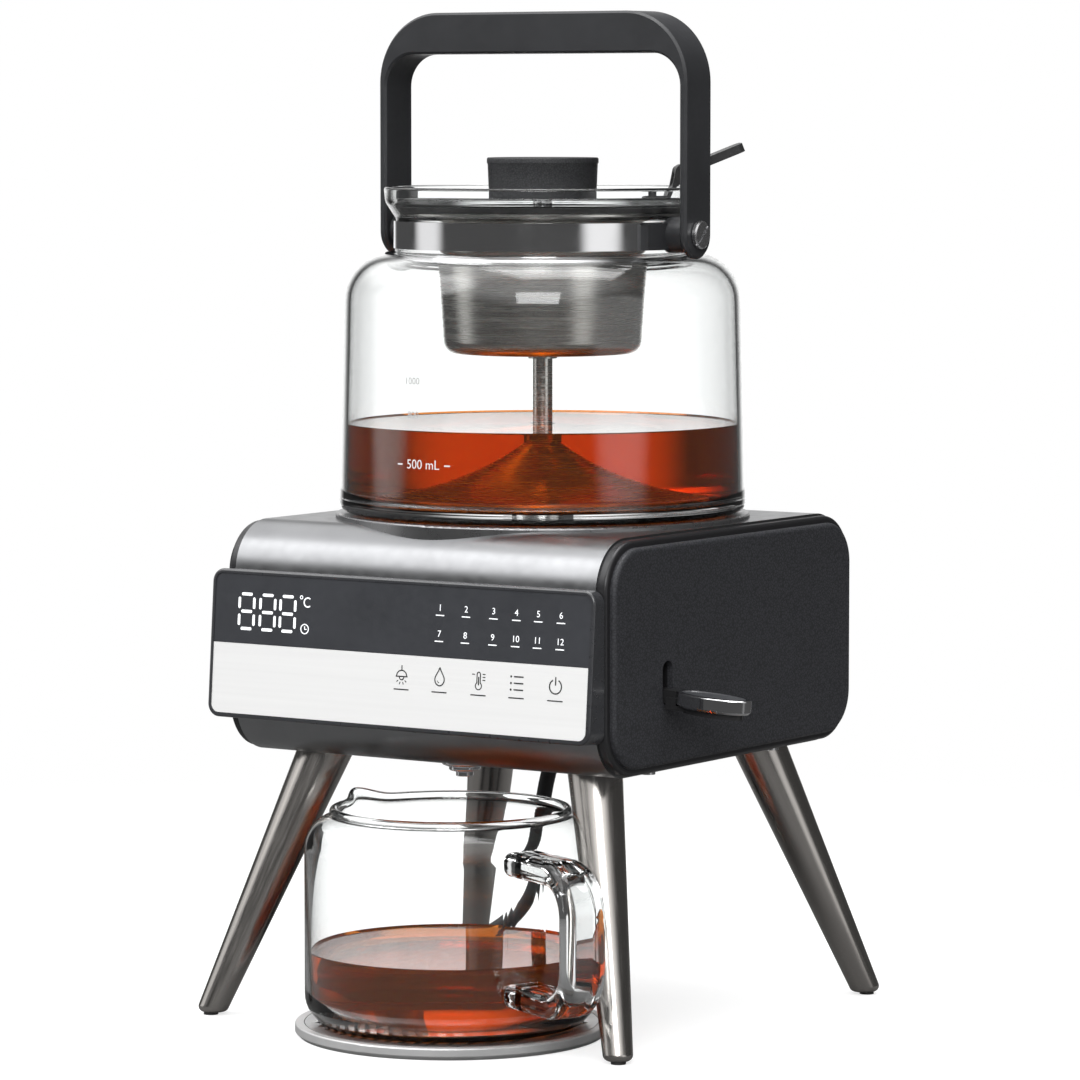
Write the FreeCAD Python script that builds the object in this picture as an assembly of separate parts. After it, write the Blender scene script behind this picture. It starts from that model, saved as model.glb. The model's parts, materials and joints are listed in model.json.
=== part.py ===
import FreeCAD, Part
import math
import os

# Automatic tea maker: a four-legged heating base with a glass kettle on top,
# a glass jug on a slotted drip tray below, and a side lever that opens the tap.
# Millimetres. Drawn about the kettle's axis, with the floor at z = 0, +Z up and the
# front at -Y. Exported with the origin at the bottom centre of the whole outline
# without the mains lead.

V = FreeCAD.Vector
UP = V(0, 0, 1)
ACROSS = V(1, 0, 0)
BACK = V(0, 1, 0)

# Fits
running_gap = 0.3
pin_clearance = 0.05
glide_clearance = 0.1

# Housing
ground_clearance = 101.4
housing_width = 176.0
housing_depth = 175.4
housing_height = 88.3
housing_corner = 19.5
housing_wall = 2.4
rim_thickness = 4.0
rim_inset = 0.8
rim_tongue_depth = 6.0
rim_tongue_wall = 2.0
leather_thickness = 2.4
leather_inset = 3.4
leather_edge_radius = 1.7

# Base cover
cover_side_margin = 7.6
cover_end_margin = 21.1
cover_corner = 7.0
cover_lip = 5.0
cover_vent_width = 3.0
cover_vent_length = 34.0
cover_vent_pitch = 7.5
cover_vent_count = 6
cover_vent_y = 18.0
screw_radius = 1.5
screw_head_radius = 2.8
screw_head_height = 1.5
screw_spread = 44.0

# Legs
leg_side_margin = 26.3
leg_end_margin = 30.35
leg_splay_x = 31.55
leg_splay_y = 32.59
leg_top_radius = 10.3
leg_foot_radius = 5.4
leg_end_rounding = 2.2
glide_height = 1.0
glide_radius = 2.8
stud_radius = 4.0
stud_reach = 14.0
stud_boss_wall = 4.5

# Front panel
panel_side_margin = 1.35
panel_height = 56.3
panel_centre_x = -1.2
panel_centre_z = 144.3
panel_proud = 8.1
panel_tilt = 4.4
panel_corner = 5.0
panel_border = 1.7
panel_recess = 2.0
panel_sink = 0.25
panel_depth = 16.0
panel_split = 0.3
split_gap = 0.15
wire_window_width = 60.0
wire_window_height = 12.0

# Boards
board_thickness = 1.6
display_board_width = 130.0
display_board_height = 30.0
standoff_length = 4.0
standoff_radius = 2.5
power_board_length = 62.0
power_board_depth = 40.0
power_board_x = -36.0
power_board_y = 12.0

# Kettle seat and heater
seat_radius = 79.6
seat_rise = 1.7
seat_skirt = 4.0
seat_opening_radius = 64.0
heater_radius = 61.6
heater_thickness = 2.5
element_radius = 42.0
element_tube = 4.0
element_gap_angle = 40.0
sensor_radius = 5.0
sensor_offset = 27.0
sensor_length = 12.0
cup_radius = 14.5
cup_wall = 1.0
cup_depth = 16.0
cup_flange = 3.0
cup_post_radius = 1.8
cup_spout_radius = 4.0
cup_spout_offset = 8.0
cup_spout_length = 8.0
hose_wall = 1.9

# Tap and outlet
tap_x = -2.9
tap_radius = 8.5
tap_bore_radius = 5.1
tap_height = 20.0
tap_top_wall = 2.5
tap_inlet_radius = 2.0
tap_inlet_height = 6.2
tap_stub_length = 9.0
stem_radius = 2.0
plunger_length = 8.0
nozzle_bore = 2.5
nozzle_tip_radius = 3.3
nozzle_drop = 7.3
nozzle_flange_radius = 8.7
nozzle_neck_radius = 6.0
nozzle_neck_height = 4.6
lamp_x = -32.0
lamp_y = -50.0
lamp_radius = 9.5
lamp_flange = 2.0

# Side lever
lever_y = -48.8
lever_pivot_x = 27.0
lever_pivot_z = 134.6
lever_tilt = 4.0
lever_travel = 8.5
lever_grip_clear = 4.5
lever_grip_length = 31.0
lever_grip_width = 16.0
lever_grip_thickness = 5.4
lever_grip_border = 2.2
lever_inlay_depth = 1.8
lever_stem_width = 5.2
lever_stem_height = 5.0
lever_hub_radius = 5.0
lever_hub_width = 9.0
lever_pin_radius = 2.0
fork_thickness = 3.0
fork_prong = 2.6
fork_gap = 0.4
slot_width = 7.0
slot_margin = 1.4
bracket_cheek = 3.0

# Kettle glass
base_radius = 78.2
shoulder_radius = 75.7
shoulder_height = 99.6
shoulder_rounding = 19.0
neck_radius = 56.3
neck_length = 12.4
mouth_radius = 60.8
mouth_height = 12.4
glass_wall = 2.5
glass_join_height = 80.0
glass_bottom = 4.0
base_rounding = 4.0
mouth_flare_height = 6.6
band_thickness = 0.7

# Drain valve in the kettle's floor
valve_hole_radius = 8.0
valve_flange_radius = 12.0
valve_flange_height = 2.0
valve_below = 5.6
valve_drain_radius = 1.7
valve_drain_circle = 5.2
poppet_head_radius = 7.7
poppet_head_height = 2.0
poppet_stem_radius = 1.6
poppet_lift = 4.0
nut_radius = 12.0
nut_height = 2.6

# Bail handle
bail_half_width = 70.4
bail_arm_thickness = 3.2
bail_depth = 18.2
bail_pivot_z = 298.5
bail_top_z = 382.5
bail_grip_height = 15.8
bail_outer_rounding = 27.0
bail_inner_rounding = 12.5
bail_edge = 0.9
lug_boss_radius = 6.9
lug_half_width = 16.0
lug_pad_thickness = 3.2
pivot_screw_radius = 2.5
pivot_head_radius = 5.3
pivot_head_height = 1.8
pivot_screw_depth = 12.0

# Infuser
infuser_flange_thickness = 0.8
basket_top_radius = 41.0
basket_bottom_radius = 37.6
basket_depth = 53.4
basket_wall = 0.8
basket_rounding = 5.0
basket_hole_radius = 1.6
basket_hole_circles = (14.0, 23.0, 31.0)
basket_hole_counts = (8, 14, 20)
riser_radius = 3.75
riser_bore = 2.9
collar_radius = 5.5
collar_low = 21.4
collar_height = 7.0
riser_above_basket_floor = 42.0
spray_radius = 9.0
spray_height = 5.0
cone_radius = 48.0
cone_height = 22.6
cone_wall = 1.0

# Lid
lid_radius = 56.9
lid_thickness = 3.5
lid_edge_radius = 1.3
seal_height = 2.2
seal_inner_radius = 50.0
knob_radius = 21.4
knob_foot_radius = 20.6
knob_height = 14.6
knob_lip = 2.0
knob_dish = 1.2
knob_screw_radius = 2.2
knob_screw_head = 6.0
knob_screw_head_height = 2.0
knob_screw_length = 13.0

# Lid thumb lever
thumb_azimuth = 40.0
thumb_foot_radius = 46.0
thumb_hinge_radius = 53.6
thumb_hinge_rise = 9.2
thumb_tip_radius = 77.0
thumb_tip_rise = 18.6
thumb_width = 14.0
thumb_thickness = 3.3
thumb_hub_radius = 2.8
thumb_pin_radius = 1.2
strap_width = 10.0
strap_thickness = 1.2

# Drip tray and jug
tray_x = 6.2
tray_y = -70.8
tray_radius = 58.8
tray_height = 4.6
tray_floor = 1.0
tray_rim = 3.4
tray_plate_thickness = 1.8
tray_plate_ledge = 2.2
tray_slot_width = 2.5
tray_slot_pitch = 5.5
tray_slot_border = 4.6
jug_radius = 55.1
jug_base_radius = 49.5
jug_height = 80.0
jug_rim_radius = 45.1
jug_wall = 2.2
jug_floor = 3.0
jug_base_rounding = 12.0
jug_shoulder_rounding = 13.0
jug_rim_bead = 1.7
spout_azimuth = 172.0
spout_reach = 4.6
spout_rise = 2.6
spout_radius = 8.0
jug_handle_azimuth = -26.0
jug_handle_reach = 96.0
jug_handle_low = 17.5
jug_handle_high = 66.0
jug_handle_width = 17.0
jug_handle_thickness = 9.0
jug_handle_bend = 15.0

# Mains lead
cord_diameter = 6.2
coil_centre = V(-67.7, 11.3, 0)
coil_heading = 33.78
coil_outer_radius = 37.5
coil_pitch = 6.7
coil_turns = 3.5
coil_lift = 6.7
coil_straight_end = 12.0
floor_gap = 0.1
gland_top_radius = 6.5
gland_length = 23.0
gland_x = -31.2
gland_rear_margin = 6.8
gland_lean = V(-0.251, -0.048, -0.967)
plug_relief_length = 20.0
plug_body_length = 30.0
plug_body_width = 25.0
plug_body_height = 14.0
plug_pin_radius = 2.0
plug_pin_length = 18.0
plug_pin_spacing = 18.6
lead_nodes = ("cord_lead", "cord_coil", "plug_body", "plug_pins")

# Heights and places worked out from the sizes above
housing_top = ground_clearance + housing_height
sleeve_half = housing_width / 2 - rim_thickness - leather_thickness
cover_half_width = sleeve_half - cover_side_margin
cover_half_depth = housing_depth / 2 - cover_end_margin
leg_top_x = housing_width / 2 - leg_side_margin
leg_top_y = housing_depth / 2 - leg_end_margin
leg_foot_x = leg_top_x + leg_splay_x
leg_foot_y = leg_top_y + leg_splay_y
panel_width = housing_width - 2 * panel_side_margin
lever_outer_length = housing_width / 2 - lever_pivot_x + lever_grip_clear + lever_grip_length
cover_top = ground_clearance + housing_wall
seat_top = housing_top + seat_rise
kettle_floor = seat_top + running_gap
glass_floor_top = kettle_floor + glass_bottom
neck_z = kettle_floor + shoulder_height
mouth_z = neck_z + neck_length
kettle_rim_z = mouth_z + mouth_height
glass_join_z = kettle_floor + glass_join_height
neck_inner = neck_radius - glass_wall
mouth_inner = mouth_radius - glass_wall
flare_foot = mouth_z - 0.5
flare_top = mouth_z + mouth_flare_height
jug_floor_z = tray_height + running_gap
jug_rim_z = jug_floor_z + jug_height
jug_centre = V(tray_x, tray_y, 0)
cord_radius = cord_diameter / 2
floor_line = cord_radius + floor_gap
gland_point = V(gland_x, cover_half_depth - gland_rear_margin, ground_clearance)
beyond = 4 * housing_width


def flare_radius(z):
    """Inner radius of the kettle's flared mouth at height z."""
    share = (z - flare_foot) / (flare_top - flare_foot)
    return neck_inner + share * (mouth_inner - neck_inner)


flange_z = flare_foot + 2.6
seal_z = flange_z + infuser_flange_thickness + running_gap
lid_z = seal_z + seal_height
lid_top_z = lid_z + lid_thickness
basket_floor_z = flange_z - basket_depth
cone_z = glass_floor_top + running_gap
poppet_z = glass_floor_top + valve_flange_height + running_gap + poppet_lift


def box(x0, x1, y0, y1, z0, z1):
    return Part.makeBox(x1 - x0, y1 - y0, z1 - z0, V(x0, y0, z0))


def level_slice(z0, z1):
    """Everything between two heights."""
    return box(-beyond, beyond, -beyond, beyond, z0, z1)


def rod(radius, start, axis, length):
    return Part.makeCylinder(radius, length, start, axis)


def tube(outer, inner, start, axis, length):
    return rod(outer, start, axis, length).cut(rod(inner, start, axis, length))


def moved(shape, offset):
    copy = shape.copy()
    copy.translate(offset)
    return copy


def turned_about(shape, point, axis, degrees):
    copy = shape.copy()
    copy.rotate(point, axis, degrees)
    return copy


def joined(shapes):
    whole = shapes[0]
    for shape in shapes[1:]:
        whole = whole.fuse(shape)
    return whole.removeSplitter()


def rounded_path(corners, closed):
    """Straight runs joined by tangent arcs, through corners given as (point, radius)."""
    count = len(corners)
    turns = []
    for i, (point, radius) in enumerate(corners):
        if radius == 0 or (not closed and i in (0, count - 1)):
            turns.append((point, None, point))
            continue
        before = (corners[i - 1][0] - point).normalize()
        after = (corners[(i + 1) % count][0] - point).normalize()
        half = before.getAngle(after) / 2
        reach = radius / math.tan(half)
        inward = (before + after).normalize()
        middle = point + inward * (radius / math.sin(half) - radius)
        turns.append((point + before * reach, middle, point + after * reach))
    edges = []
    for i in range(count if closed else count - 1):
        leave = turns[i][2]
        arrive, middle, depart = turns[(i + 1) % count]
        if leave.distanceToPoint(arrive) > 1e-6:
            edges.append(Part.LineSegment(leave, arrive).toShape())
        if middle is not None:
            edges.append(Part.Arc(arrive, middle, depart).toShape())
    return Part.Wire(Part.__sortEdges__(edges))


def revolved(profile, centre=V(0, 0, 0)):
    """Turns a closed (radius, height, corner radius) profile about the vertical through centre."""
    corners = [(V(r, 0, z), rounding) for r, z, rounding in profile]
    face = Part.Face(rounded_path(corners, True))
    return moved(face.revolve(V(0, 0, 0), UP, 360), centre)


def prism(outline, direction):
    """Pushes a closed outline of (point, corner radius) along a direction."""
    return Part.Face(rounded_path(outline, True)).extrude(direction)


def plate_yz(half_depth, z0, z1, rounding, x0, x1):
    """A bar along X with a rounded rectangle for its section."""
    outline = [
        (V(x0, -half_depth, z0), rounding),
        (V(x0, half_depth, z0), rounding),
        (V(x0, half_depth, z1), rounding),
        (V(x0, -half_depth, z1), rounding),
    ]
    return prism(outline, V(x1 - x0, 0, 0))


def housing_form(inset, x0, x1):
    """The housing's outer form, shrunk by inset, between two X planes."""
    return plate_yz(
        housing_depth / 2 - inset,
        ground_clearance + inset,
        housing_top - inset,
        housing_corner - inset,
        x0,
        x1,
    )


def rounded_slab(half_x, half_y, rounding, z0, z1, centre=V(0, 0, 0)):
    outline = [
        (centre + V(-half_x, -half_y, z0), rounding),
        (centre + V(half_x, -half_y, z0), rounding),
        (centre + V(half_x, half_y, z0), rounding),
        (centre + V(-half_x, half_y, z0), rounding),
    ]
    return prism(outline, V(0, 0, z1 - z0))


def edges_at(shape, test):
    return [edge for edge in shape.Edges if all(test(v.Point) for v in edge.Vertexes)]


def leg_ends(side_x, side_y):
    top = V(side_x * leg_top_x, side_y * leg_top_y, ground_clearance)
    foot = V(side_x * leg_foot_x, side_y * leg_foot_y, 0)
    return top, foot, (top - foot).normalize()


def corners():
    """The four leg corners as (name, X side, Y side)."""
    for name_y, side_y in (("front", -1), ("rear", 1)):
        for name_x, side_x in (("left", -1), ("right", 1)):
            yield name_y + "_" + name_x, side_x, side_y


def lever_slot_box(x0, x1):
    """The upright rounded slot in the right side that the lever moves in."""
    reach = housing_width / 2 - lever_pivot_x
    drop = reach * math.tan(math.radians(lever_tilt))
    rise = reach * math.tan(math.radians(lever_travel - lever_tilt))
    low = lever_pivot_z - drop - lever_stem_height / 2 - slot_margin
    high = lever_pivot_z + rise + lever_stem_height / 2 + slot_margin
    half = slot_width / 2
    outline = [
        (V(x0, lever_y - half, low), half * 0.98),
        (V(x0, lever_y + half, low), half * 0.98),
        (V(x0, lever_y + half, high), half * 0.98),
        (V(x0, lever_y - half, high), half * 0.98),
    ]
    return prism(outline, V(x1 - x0, 0, 0))


def make_housing_shell():
    shell = housing_form(0, -sleeve_half, sleeve_half)
    shell = shell.cut(housing_form(housing_wall, -sleeve_half - 1, sleeve_half + 1))
    top_hole = rod(seat_opening_radius, V(0, 0, housing_top - 30), UP, 40)
    base_window = rounded_slab(
        cover_half_width, cover_half_depth, cover_corner,
        ground_clearance - 1, cover_top + 1,
    )
    wires = box(
        -wire_window_width / 2, wire_window_width / 2,
        -housing_depth / 2 - 1, -housing_depth / 2 + housing_wall + 1,
        panel_centre_z - wire_window_height / 2, panel_centre_z + wire_window_height / 2,
    )
    shell = shell.cut(top_hole).cut(base_window).cut(wires)
    for centre in screw_places():
        shell = shell.cut(rod(screw_radius + running_gap, centre - UP * 1, UP, housing_wall + 2))
    return shell


def screw_places():
    """Where the base cover's screws pass the sleeve's underside."""
    x = (cover_half_width + sleeve_half - rim_tongue_depth / 2) / 2
    for side_x in (-1, 1):
        for side_y in (-1, 1):
            yield V(side_x * x, side_y * screw_spread, ground_clearance)


def make_side_rim(side):
    inner = side * sleeve_half
    outer = side * (sleeve_half + rim_thickness)
    rim = housing_form(rim_inset, min(inner, outer), max(inner, outer))
    rounded = edges_at(rim, lambda p: abs(p.x - outer) < 1e-6)
    rim = rim.makeFillet(rim_inset + 0.6, rounded)
    far = side * (sleeve_half - rim_tongue_depth)
    snug = housing_wall + 0.15
    tongue = housing_form(snug, min(inner, far), max(inner, far))
    bore = housing_form(snug + rim_tongue_wall, min(inner, far) - 1, max(inner, far) + 1)
    clear = box(
        min(inner, far) - 1, max(inner, far) + 1,
        -cover_half_depth - 2, cover_half_depth + 2,
        ground_clearance, ground_clearance + housing_corner,
    )
    tongue = tongue.cut(bore).cut(clear)
    rim = rim.fuse(tongue).removeSplitter()
    if side > 0:
        rim = rim.cut(lever_slot_box(far - 1, outer + 1))
    return rim


def make_leather_panel(side):
    inner = side * (sleeve_half + rim_thickness)
    outer = side * housing_width / 2
    panel = housing_form(leather_inset, min(inner, outer), max(inner, outer))
    rounded = edges_at(panel, lambda p: abs(p.x - outer) < 1e-6)
    panel = panel.makeFillet(leather_edge_radius, rounded)
    if side > 0:
        panel = panel.cut(lever_slot_box(inner - 1, outer + 1))
    return panel


def make_base_cover():
    half_x = cover_half_width - glide_clearance
    half_y = cover_half_depth - glide_clearance
    plate = rounded_slab(half_x, half_y, cover_corner - glide_clearance, ground_clearance, cover_top)
    lip_x = sleeve_half - rim_tongue_depth - running_gap
    pieces = [plate]
    for side in (-1, 1):
        x0, x1 = sorted((side * (half_x - cover_lip), side * (half_x - 1)))
        pieces.append(box(x0, x1, -screw_spread - 8, screw_spread + 8, cover_top - 0.5, cover_top + 2))
        x0, x1 = sorted((side * (half_x - 2), side * max(lip_x, cover_half_width + 1.5)))
        pieces.append(box(x0, x1, -screw_spread - 8, screw_spread + 8, cover_top, cover_top + 2))
    for _, side_x, side_y in corners():
        top, _, axis = leg_ends(side_x, side_y)
        boss = rod(stud_radius + stud_boss_wall, top - axis * 10, axis, stud_reach + 14)
        slab = level_slice(cover_top - 0.5, cover_top + stud_reach - 3)
        pieces.append(boss.common(slab))
    cover = joined(pieces)
    for _, side_x, side_y in corners():
        top, _, axis = leg_ends(side_x, side_y)
        cover = cover.cut(rod(stud_radius + pin_clearance, top - axis * 10, axis, 40))
    cover = cover.cut(rod(nozzle_neck_radius + glide_clearance, V(tap_x, lever_y, ground_clearance - 1), UP, 8))
    cover = cover.cut(rod(lamp_radius + glide_clearance, V(lamp_x, lamp_y, ground_clearance - 1), UP, 8))
    cover = cover.cut(rod(gland_top_radius - 1.5 + glide_clearance, gland_point + gland_lean * 10, gland_lean * -1, 30))
    for centre in screw_places():
        cover = cover.cut(rod(screw_radius + pin_clearance, centre, UP, 8))
    first = -cover_vent_pitch * (cover_vent_count - 1) / 2
    for i in range(cover_vent_count):
        y = cover_vent_y + first + i * cover_vent_pitch
        vent = rounded_slab(
            cover_vent_length / 2, cover_vent_width / 2, cover_vent_width / 2 * 0.98,
            ground_clearance - 1, cover_top + 1, V(34, y - 6, 0),
        )
        cover = cover.cut(vent)
    return cover


def make_base_screws():
    screws = []
    for centre in screw_places():
        shank = rod(screw_radius, centre, UP, housing_wall + 1.6)
        head = rod(screw_head_radius, centre - UP * screw_head_height, UP, screw_head_height)
        screws.append(shank.fuse(head).removeSplitter())
    return Part.makeCompound(screws)


def make_leg(side_x, side_y):
    top, foot, axis = leg_ends(side_x, side_y)
    length = (top - foot).Length
    slope = (leg_top_radius - leg_foot_radius) / length
    extra = 14.0
    cone = Part.makeCone(
        leg_foot_radius - slope * extra, leg_top_radius + slope * extra,
        length + 2 * extra, foot - axis * extra, axis,
    )
    leg = cone.common(level_slice(glide_height, ground_clearance))
    end = edges_at(leg, lambda p: abs(p.z - glide_height) < 1e-6)
    leg = leg.makeFillet(leg_end_rounding, end)
    return leg.cut(rod(stud_radius + pin_clearance, top - axis * (stud_reach + 1), axis, 40))


def make_leg_studs():
    studs = []
    for _, side_x, side_y in corners():
        top, _, axis = leg_ends(side_x, side_y)
        studs.append(rod(stud_radius, top - axis * stud_reach, axis, 2 * stud_reach - 4))
    return Part.makeCompound(studs)


def make_leg_glides():
    """Small flat pads under the rounded leg ends."""
    pads = []
    for _, side_x, side_y in corners():
        top, foot, axis = leg_ends(side_x, side_y)
        centre = foot + axis * (glide_height / axis.z)
        pads.append(rod(glide_radius, V(centre.x, centre.y, 0), UP, glide_height))
    return Part.makeCompound(pads)


def place_panel(shape):
    """Moves a piece drawn flat at y = 0 to the tilted front of the panel."""
    leaned = turned_about(shape, V(0, 0, 0), ACROSS, -panel_tilt)
    return moved(leaned, V(panel_centre_x, -housing_depth / 2 - panel_proud, panel_centre_z))


def panel_slab(inset, y0, y1, rounding):
    half_x = panel_width / 2 - inset
    half_z = panel_height / 2 - inset
    outline = [
        (V(-half_x, y0, -half_z), rounding),
        (V(half_x, y0, -half_z), rounding),
        (V(half_x, y0, half_z), rounding),
        (V(-half_x, y0, half_z), rounding),
    ]
    return prism(outline, V(0, y1 - y0, 0))


def make_panel_bezel():
    slab = panel_slab(0, 0, panel_depth, panel_corner)
    front = edges_at(slab, lambda p: abs(p.y) < 1e-6)
    slab = slab.makeFillet(1.0, front)
    recess = panel_slab(panel_border, -1, panel_recess, panel_corner - panel_border)
    bezel = place_panel(slab.cut(recess))
    return bezel.cut(housing_form(0, -housing_width, housing_width))


def panel_insert(low, high):
    whole = panel_slab(panel_border + 0.05, panel_sink, panel_recess, panel_corner - panel_border)
    band = level_slice(low, high)
    return place_panel(whole.common(band))


def make_display_board():
    y_wall = -housing_depth / 2 + housing_wall
    low = panel_centre_z - display_board_height / 2
    y_board = y_wall + standoff_length
    board = box(
        -display_board_width / 2, display_board_width / 2,
        y_board, y_board + board_thickness, low, low + display_board_height,
    )
    pieces = [board]
    for side_x in (-1, 1):
        for side_z in (-1, 1):
            x = side_x * (display_board_width / 2 - 5)
            z = panel_centre_z + side_z * (display_board_height / 2 - 5)
            pieces.append(rod(standoff_radius, V(x, y_wall, z), BACK, standoff_length + 0.5))
    pieces.append(box(-20, 20, y_board - 3, y_board + 0.5, panel_centre_z - 4, panel_centre_z + 4))
    pieces.append(box(30, 50, y_board + 1, y_board + 7, low + 4, low + 14))
    return joined(pieces)


def make_power_board():
    z = cover_top + standoff_length
    x0 = power_board_x - power_board_length / 2
    y0 = power_board_y - power_board_depth / 2
    pieces = [box(x0, x0 + power_board_length, y0, y0 + power_board_depth, z, z + board_thickness)]
    for dx in (5, power_board_length - 5):
        for dy in (5, power_board_depth - 5):
            pieces.append(rod(standoff_radius, V(x0 + dx, y0 + dy, cover_top), UP, standoff_length + 0.5))
    top = z + board_thickness - 0.2
    pieces.append(box(x0 + 10, x0 + 32, y0 + 10, y0 + 30, top, top + 17))
    pieces.append(box(x0 + 38, x0 + 56, y0 + 8, y0 + 22, top, top + 13))
    for dx in (38, 48):
        pieces.append(rod(4.4, V(x0 + dx + 3, y0 + 30, top), UP, 15))
    return joined(pieces)


def make_kettle_seat():
    ring = rod(seat_radius, V(0, 0, housing_top - 12), UP, 12 + seat_rise)
    ring = ring.cut(housing_form(0, -beyond, beyond))
    rounded = edges_at(ring, lambda p: abs(p.z - seat_top) < 1e-6)
    ring = ring.makeFillet(0.8, rounded)
    ring = ring.cut(rod(seat_opening_radius - 1, V(0, 0, housing_top - 20), UP, 40))
    skirt_outer = seat_opening_radius - 0.2
    ledge_inner = heater_radius - 4
    ledge_z = seat_top - heater_thickness
    skirt = revolved([
        (ledge_inner, housing_top - seat_skirt, 0),
        (skirt_outer, housing_top - seat_skirt, 0),
        (skirt_outer, seat_top, 0),
        (heater_radius + 0.1, seat_top, 0),
        (heater_radius + 0.1, ledge_z, 0),
        (ledge_inner, ledge_z, 0),
    ])
    return joined([ring, skirt])


def make_heater_plate():
    low = seat_top - heater_thickness
    plate = rod(heater_radius, V(0, 0, low), UP, heater_thickness)
    section = Part.Face(Part.Wire(Part.makeCircle(
        element_tube, V(element_radius, 0, low - element_tube + 0.5), BACK)))
    element = section.revolve(V(0, 0, 0), UP, 360 - element_gap_angle)
    pieces = [plate, element]
    for angle in (0, 360 - element_gap_angle):
        place = turned_about(Part.Vertex(V(element_radius, 0, low - element_tube)), V(0, 0, 0), UP, angle)
        pieces.append(rod(1.5, place.Point - UP * 14, UP, 14))
    plate = joined(pieces)
    plate = plate.cut(rod(cup_radius + cup_wall + 0.1, V(0, 0, low - 1), UP, 8))
    step = rod(cup_radius + cup_wall + cup_flange + 0.1, V(0, 0, seat_top - 0.9), UP, 3)
    sensor = rod(sensor_radius + running_gap, V(0, sensor_offset, low - 1), UP, 8)
    return plate.cut(step).cut(sensor)


def make_temperature_sensor():
    top = seat_top - 0.1
    body = rod(sensor_radius, V(0, sensor_offset, top - sensor_length), UP, sensor_length)
    flange = rod(sensor_radius + 2, V(0, sensor_offset, seat_top - heater_thickness - 2), UP, 2)
    return joined([body, flange])


def make_drain_cup():
    outer = cup_radius + cup_wall
    top = seat_top - 0.1
    low = top - cup_depth
    cup = revolved([
        (0, low, 0), (outer, low, 2.5), (outer, top - 0.8, 0),
        (outer + cup_flange, top - 0.8, 0), (outer + cup_flange, top, 0),
        (cup_radius, top, 0), (cup_radius, low + cup_wall, 1.5), (0, low + cup_wall, 0),
    ])
    post = rod(cup_post_radius, V(0, 0, low), UP, poppet_foot() - running_gap - low)
    spout_top = V(0, -cup_spout_offset, low)
    spout = rod(cup_spout_radius, spout_top - UP * cup_spout_length, UP, cup_spout_length + 0.5)
    cup = joined([cup, post, spout])
    return cup.cut(rod(cup_spout_radius - 1, spout_top - UP * (cup_spout_length + 1), UP, cup_spout_length + 1 + cup_wall + 0.5))


def poppet_foot():
    """Height of the poppet stem's lower end while the kettle stands on its seat."""
    return kettle_floor - valve_below - 1.0


def make_drain_hose():
    bore = cup_spout_radius + 0.05
    outer = bore + hose_wall
    cup_low = seat_top - 0.1 - cup_depth
    start = V(0, -cup_spout_offset, cup_low - 0.2)
    level = cover_top + tap_inlet_height
    y_stub = lever_y + tap_radius
    bend = 14.0
    corner = V(0, -cup_spout_offset, level)
    end = V(0, y_stub + 0.3, level)
    path = rounded_path([(start, 0), (corner, bend), (end, 0)], False)
    sections = []
    for radius in (outer, bore):
        circle = Part.Wire(Part.makeCircle(radius, start, UP))
        sections.append(path.makePipeShell([circle], True, False))
    return sections[0].cut(sections[1])


def make_tap_body():
    centre = V(tap_x, lever_y, cover_top)
    neck = nozzle_neck_height - housing_wall
    floor = neck + 1.5
    body = rod(tap_radius, centre, UP, tap_height)
    level = centre + UP * tap_inlet_height
    stub = rod(cup_spout_radius, V(0, level.y + tap_bore_radius + 1.5, level.z), BACK, tap_radius - tap_bore_radius + tap_stub_length)
    body = joined([body, stub])
    body = body.cut(rod(nozzle_neck_radius + pin_clearance, centre - UP, UP, neck + 1))
    body = body.cut(rod(nozzle_bore, centre, UP, floor + 1))
    body = body.cut(rod(tap_bore_radius, centre + UP * floor, UP, tap_height - tap_top_wall - floor))
    body = body.cut(rod(stem_radius + glide_clearance, centre, UP, tap_height + 1))
    passage = rod(tap_inlet_radius, V(tap_x / 2, level.y + tap_bore_radius - 2, level.z), BACK, 40)
    return body.cut(passage)


def fork_height():
    """Height of the lever's fork at rest."""
    return lever_pivot_z + fork_reach() * math.sin(math.radians(lever_tilt))


def fork_reach():
    return (lever_pivot_x - tap_x) / math.cos(math.radians(lever_tilt))


def make_tap_plunger():
    floor = cover_top + nozzle_neck_height - housing_wall + 1.5
    travel = fork_reach() * math.radians(lever_travel)
    low = floor + running_gap + travel
    centre = V(tap_x, lever_y, low)
    half = fork_thickness / 2 + fork_gap + 0.4
    top = fork_height() + half + 1.5
    collar_radius_tap = stem_radius + 2.4
    pieces = [
        rod(tap_bore_radius - glide_clearance, centre, UP, plunger_length),
        rod(stem_radius, centre, UP, top - low + 1),
        rod(collar_radius_tap, V(tap_x, lever_y, fork_height() - half - 1.5), UP, 1.5),
        rod(collar_radius_tap, V(tap_x, lever_y, fork_height() + half), UP, 1.5),
    ]
    return joined(pieces)


def make_outlet_nozzle():
    top = cover_top + nozzle_neck_height - housing_wall
    g = ground_clearance
    return revolved([
        (nozzle_bore, g - nozzle_drop, 0),
        (nozzle_tip_radius, g - nozzle_drop, 0.3),
        (nozzle_tip_radius, g - nozzle_drop + 1.6, 0),
        (nozzle_neck_radius, g - nozzle_drop + 2.4, 0.8),
        (nozzle_neck_radius, g - nozzle_drop + 3.6, 0),
        (nozzle_flange_radius, g - nozzle_drop + 4.6, 0.8),
        (nozzle_flange_radius, g, 0),
        (nozzle_neck_radius, g, 0),
        (nozzle_neck_radius, top, 0),
        (nozzle_bore, top, 0),
    ], V(tap_x, lever_y, 0))


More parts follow.
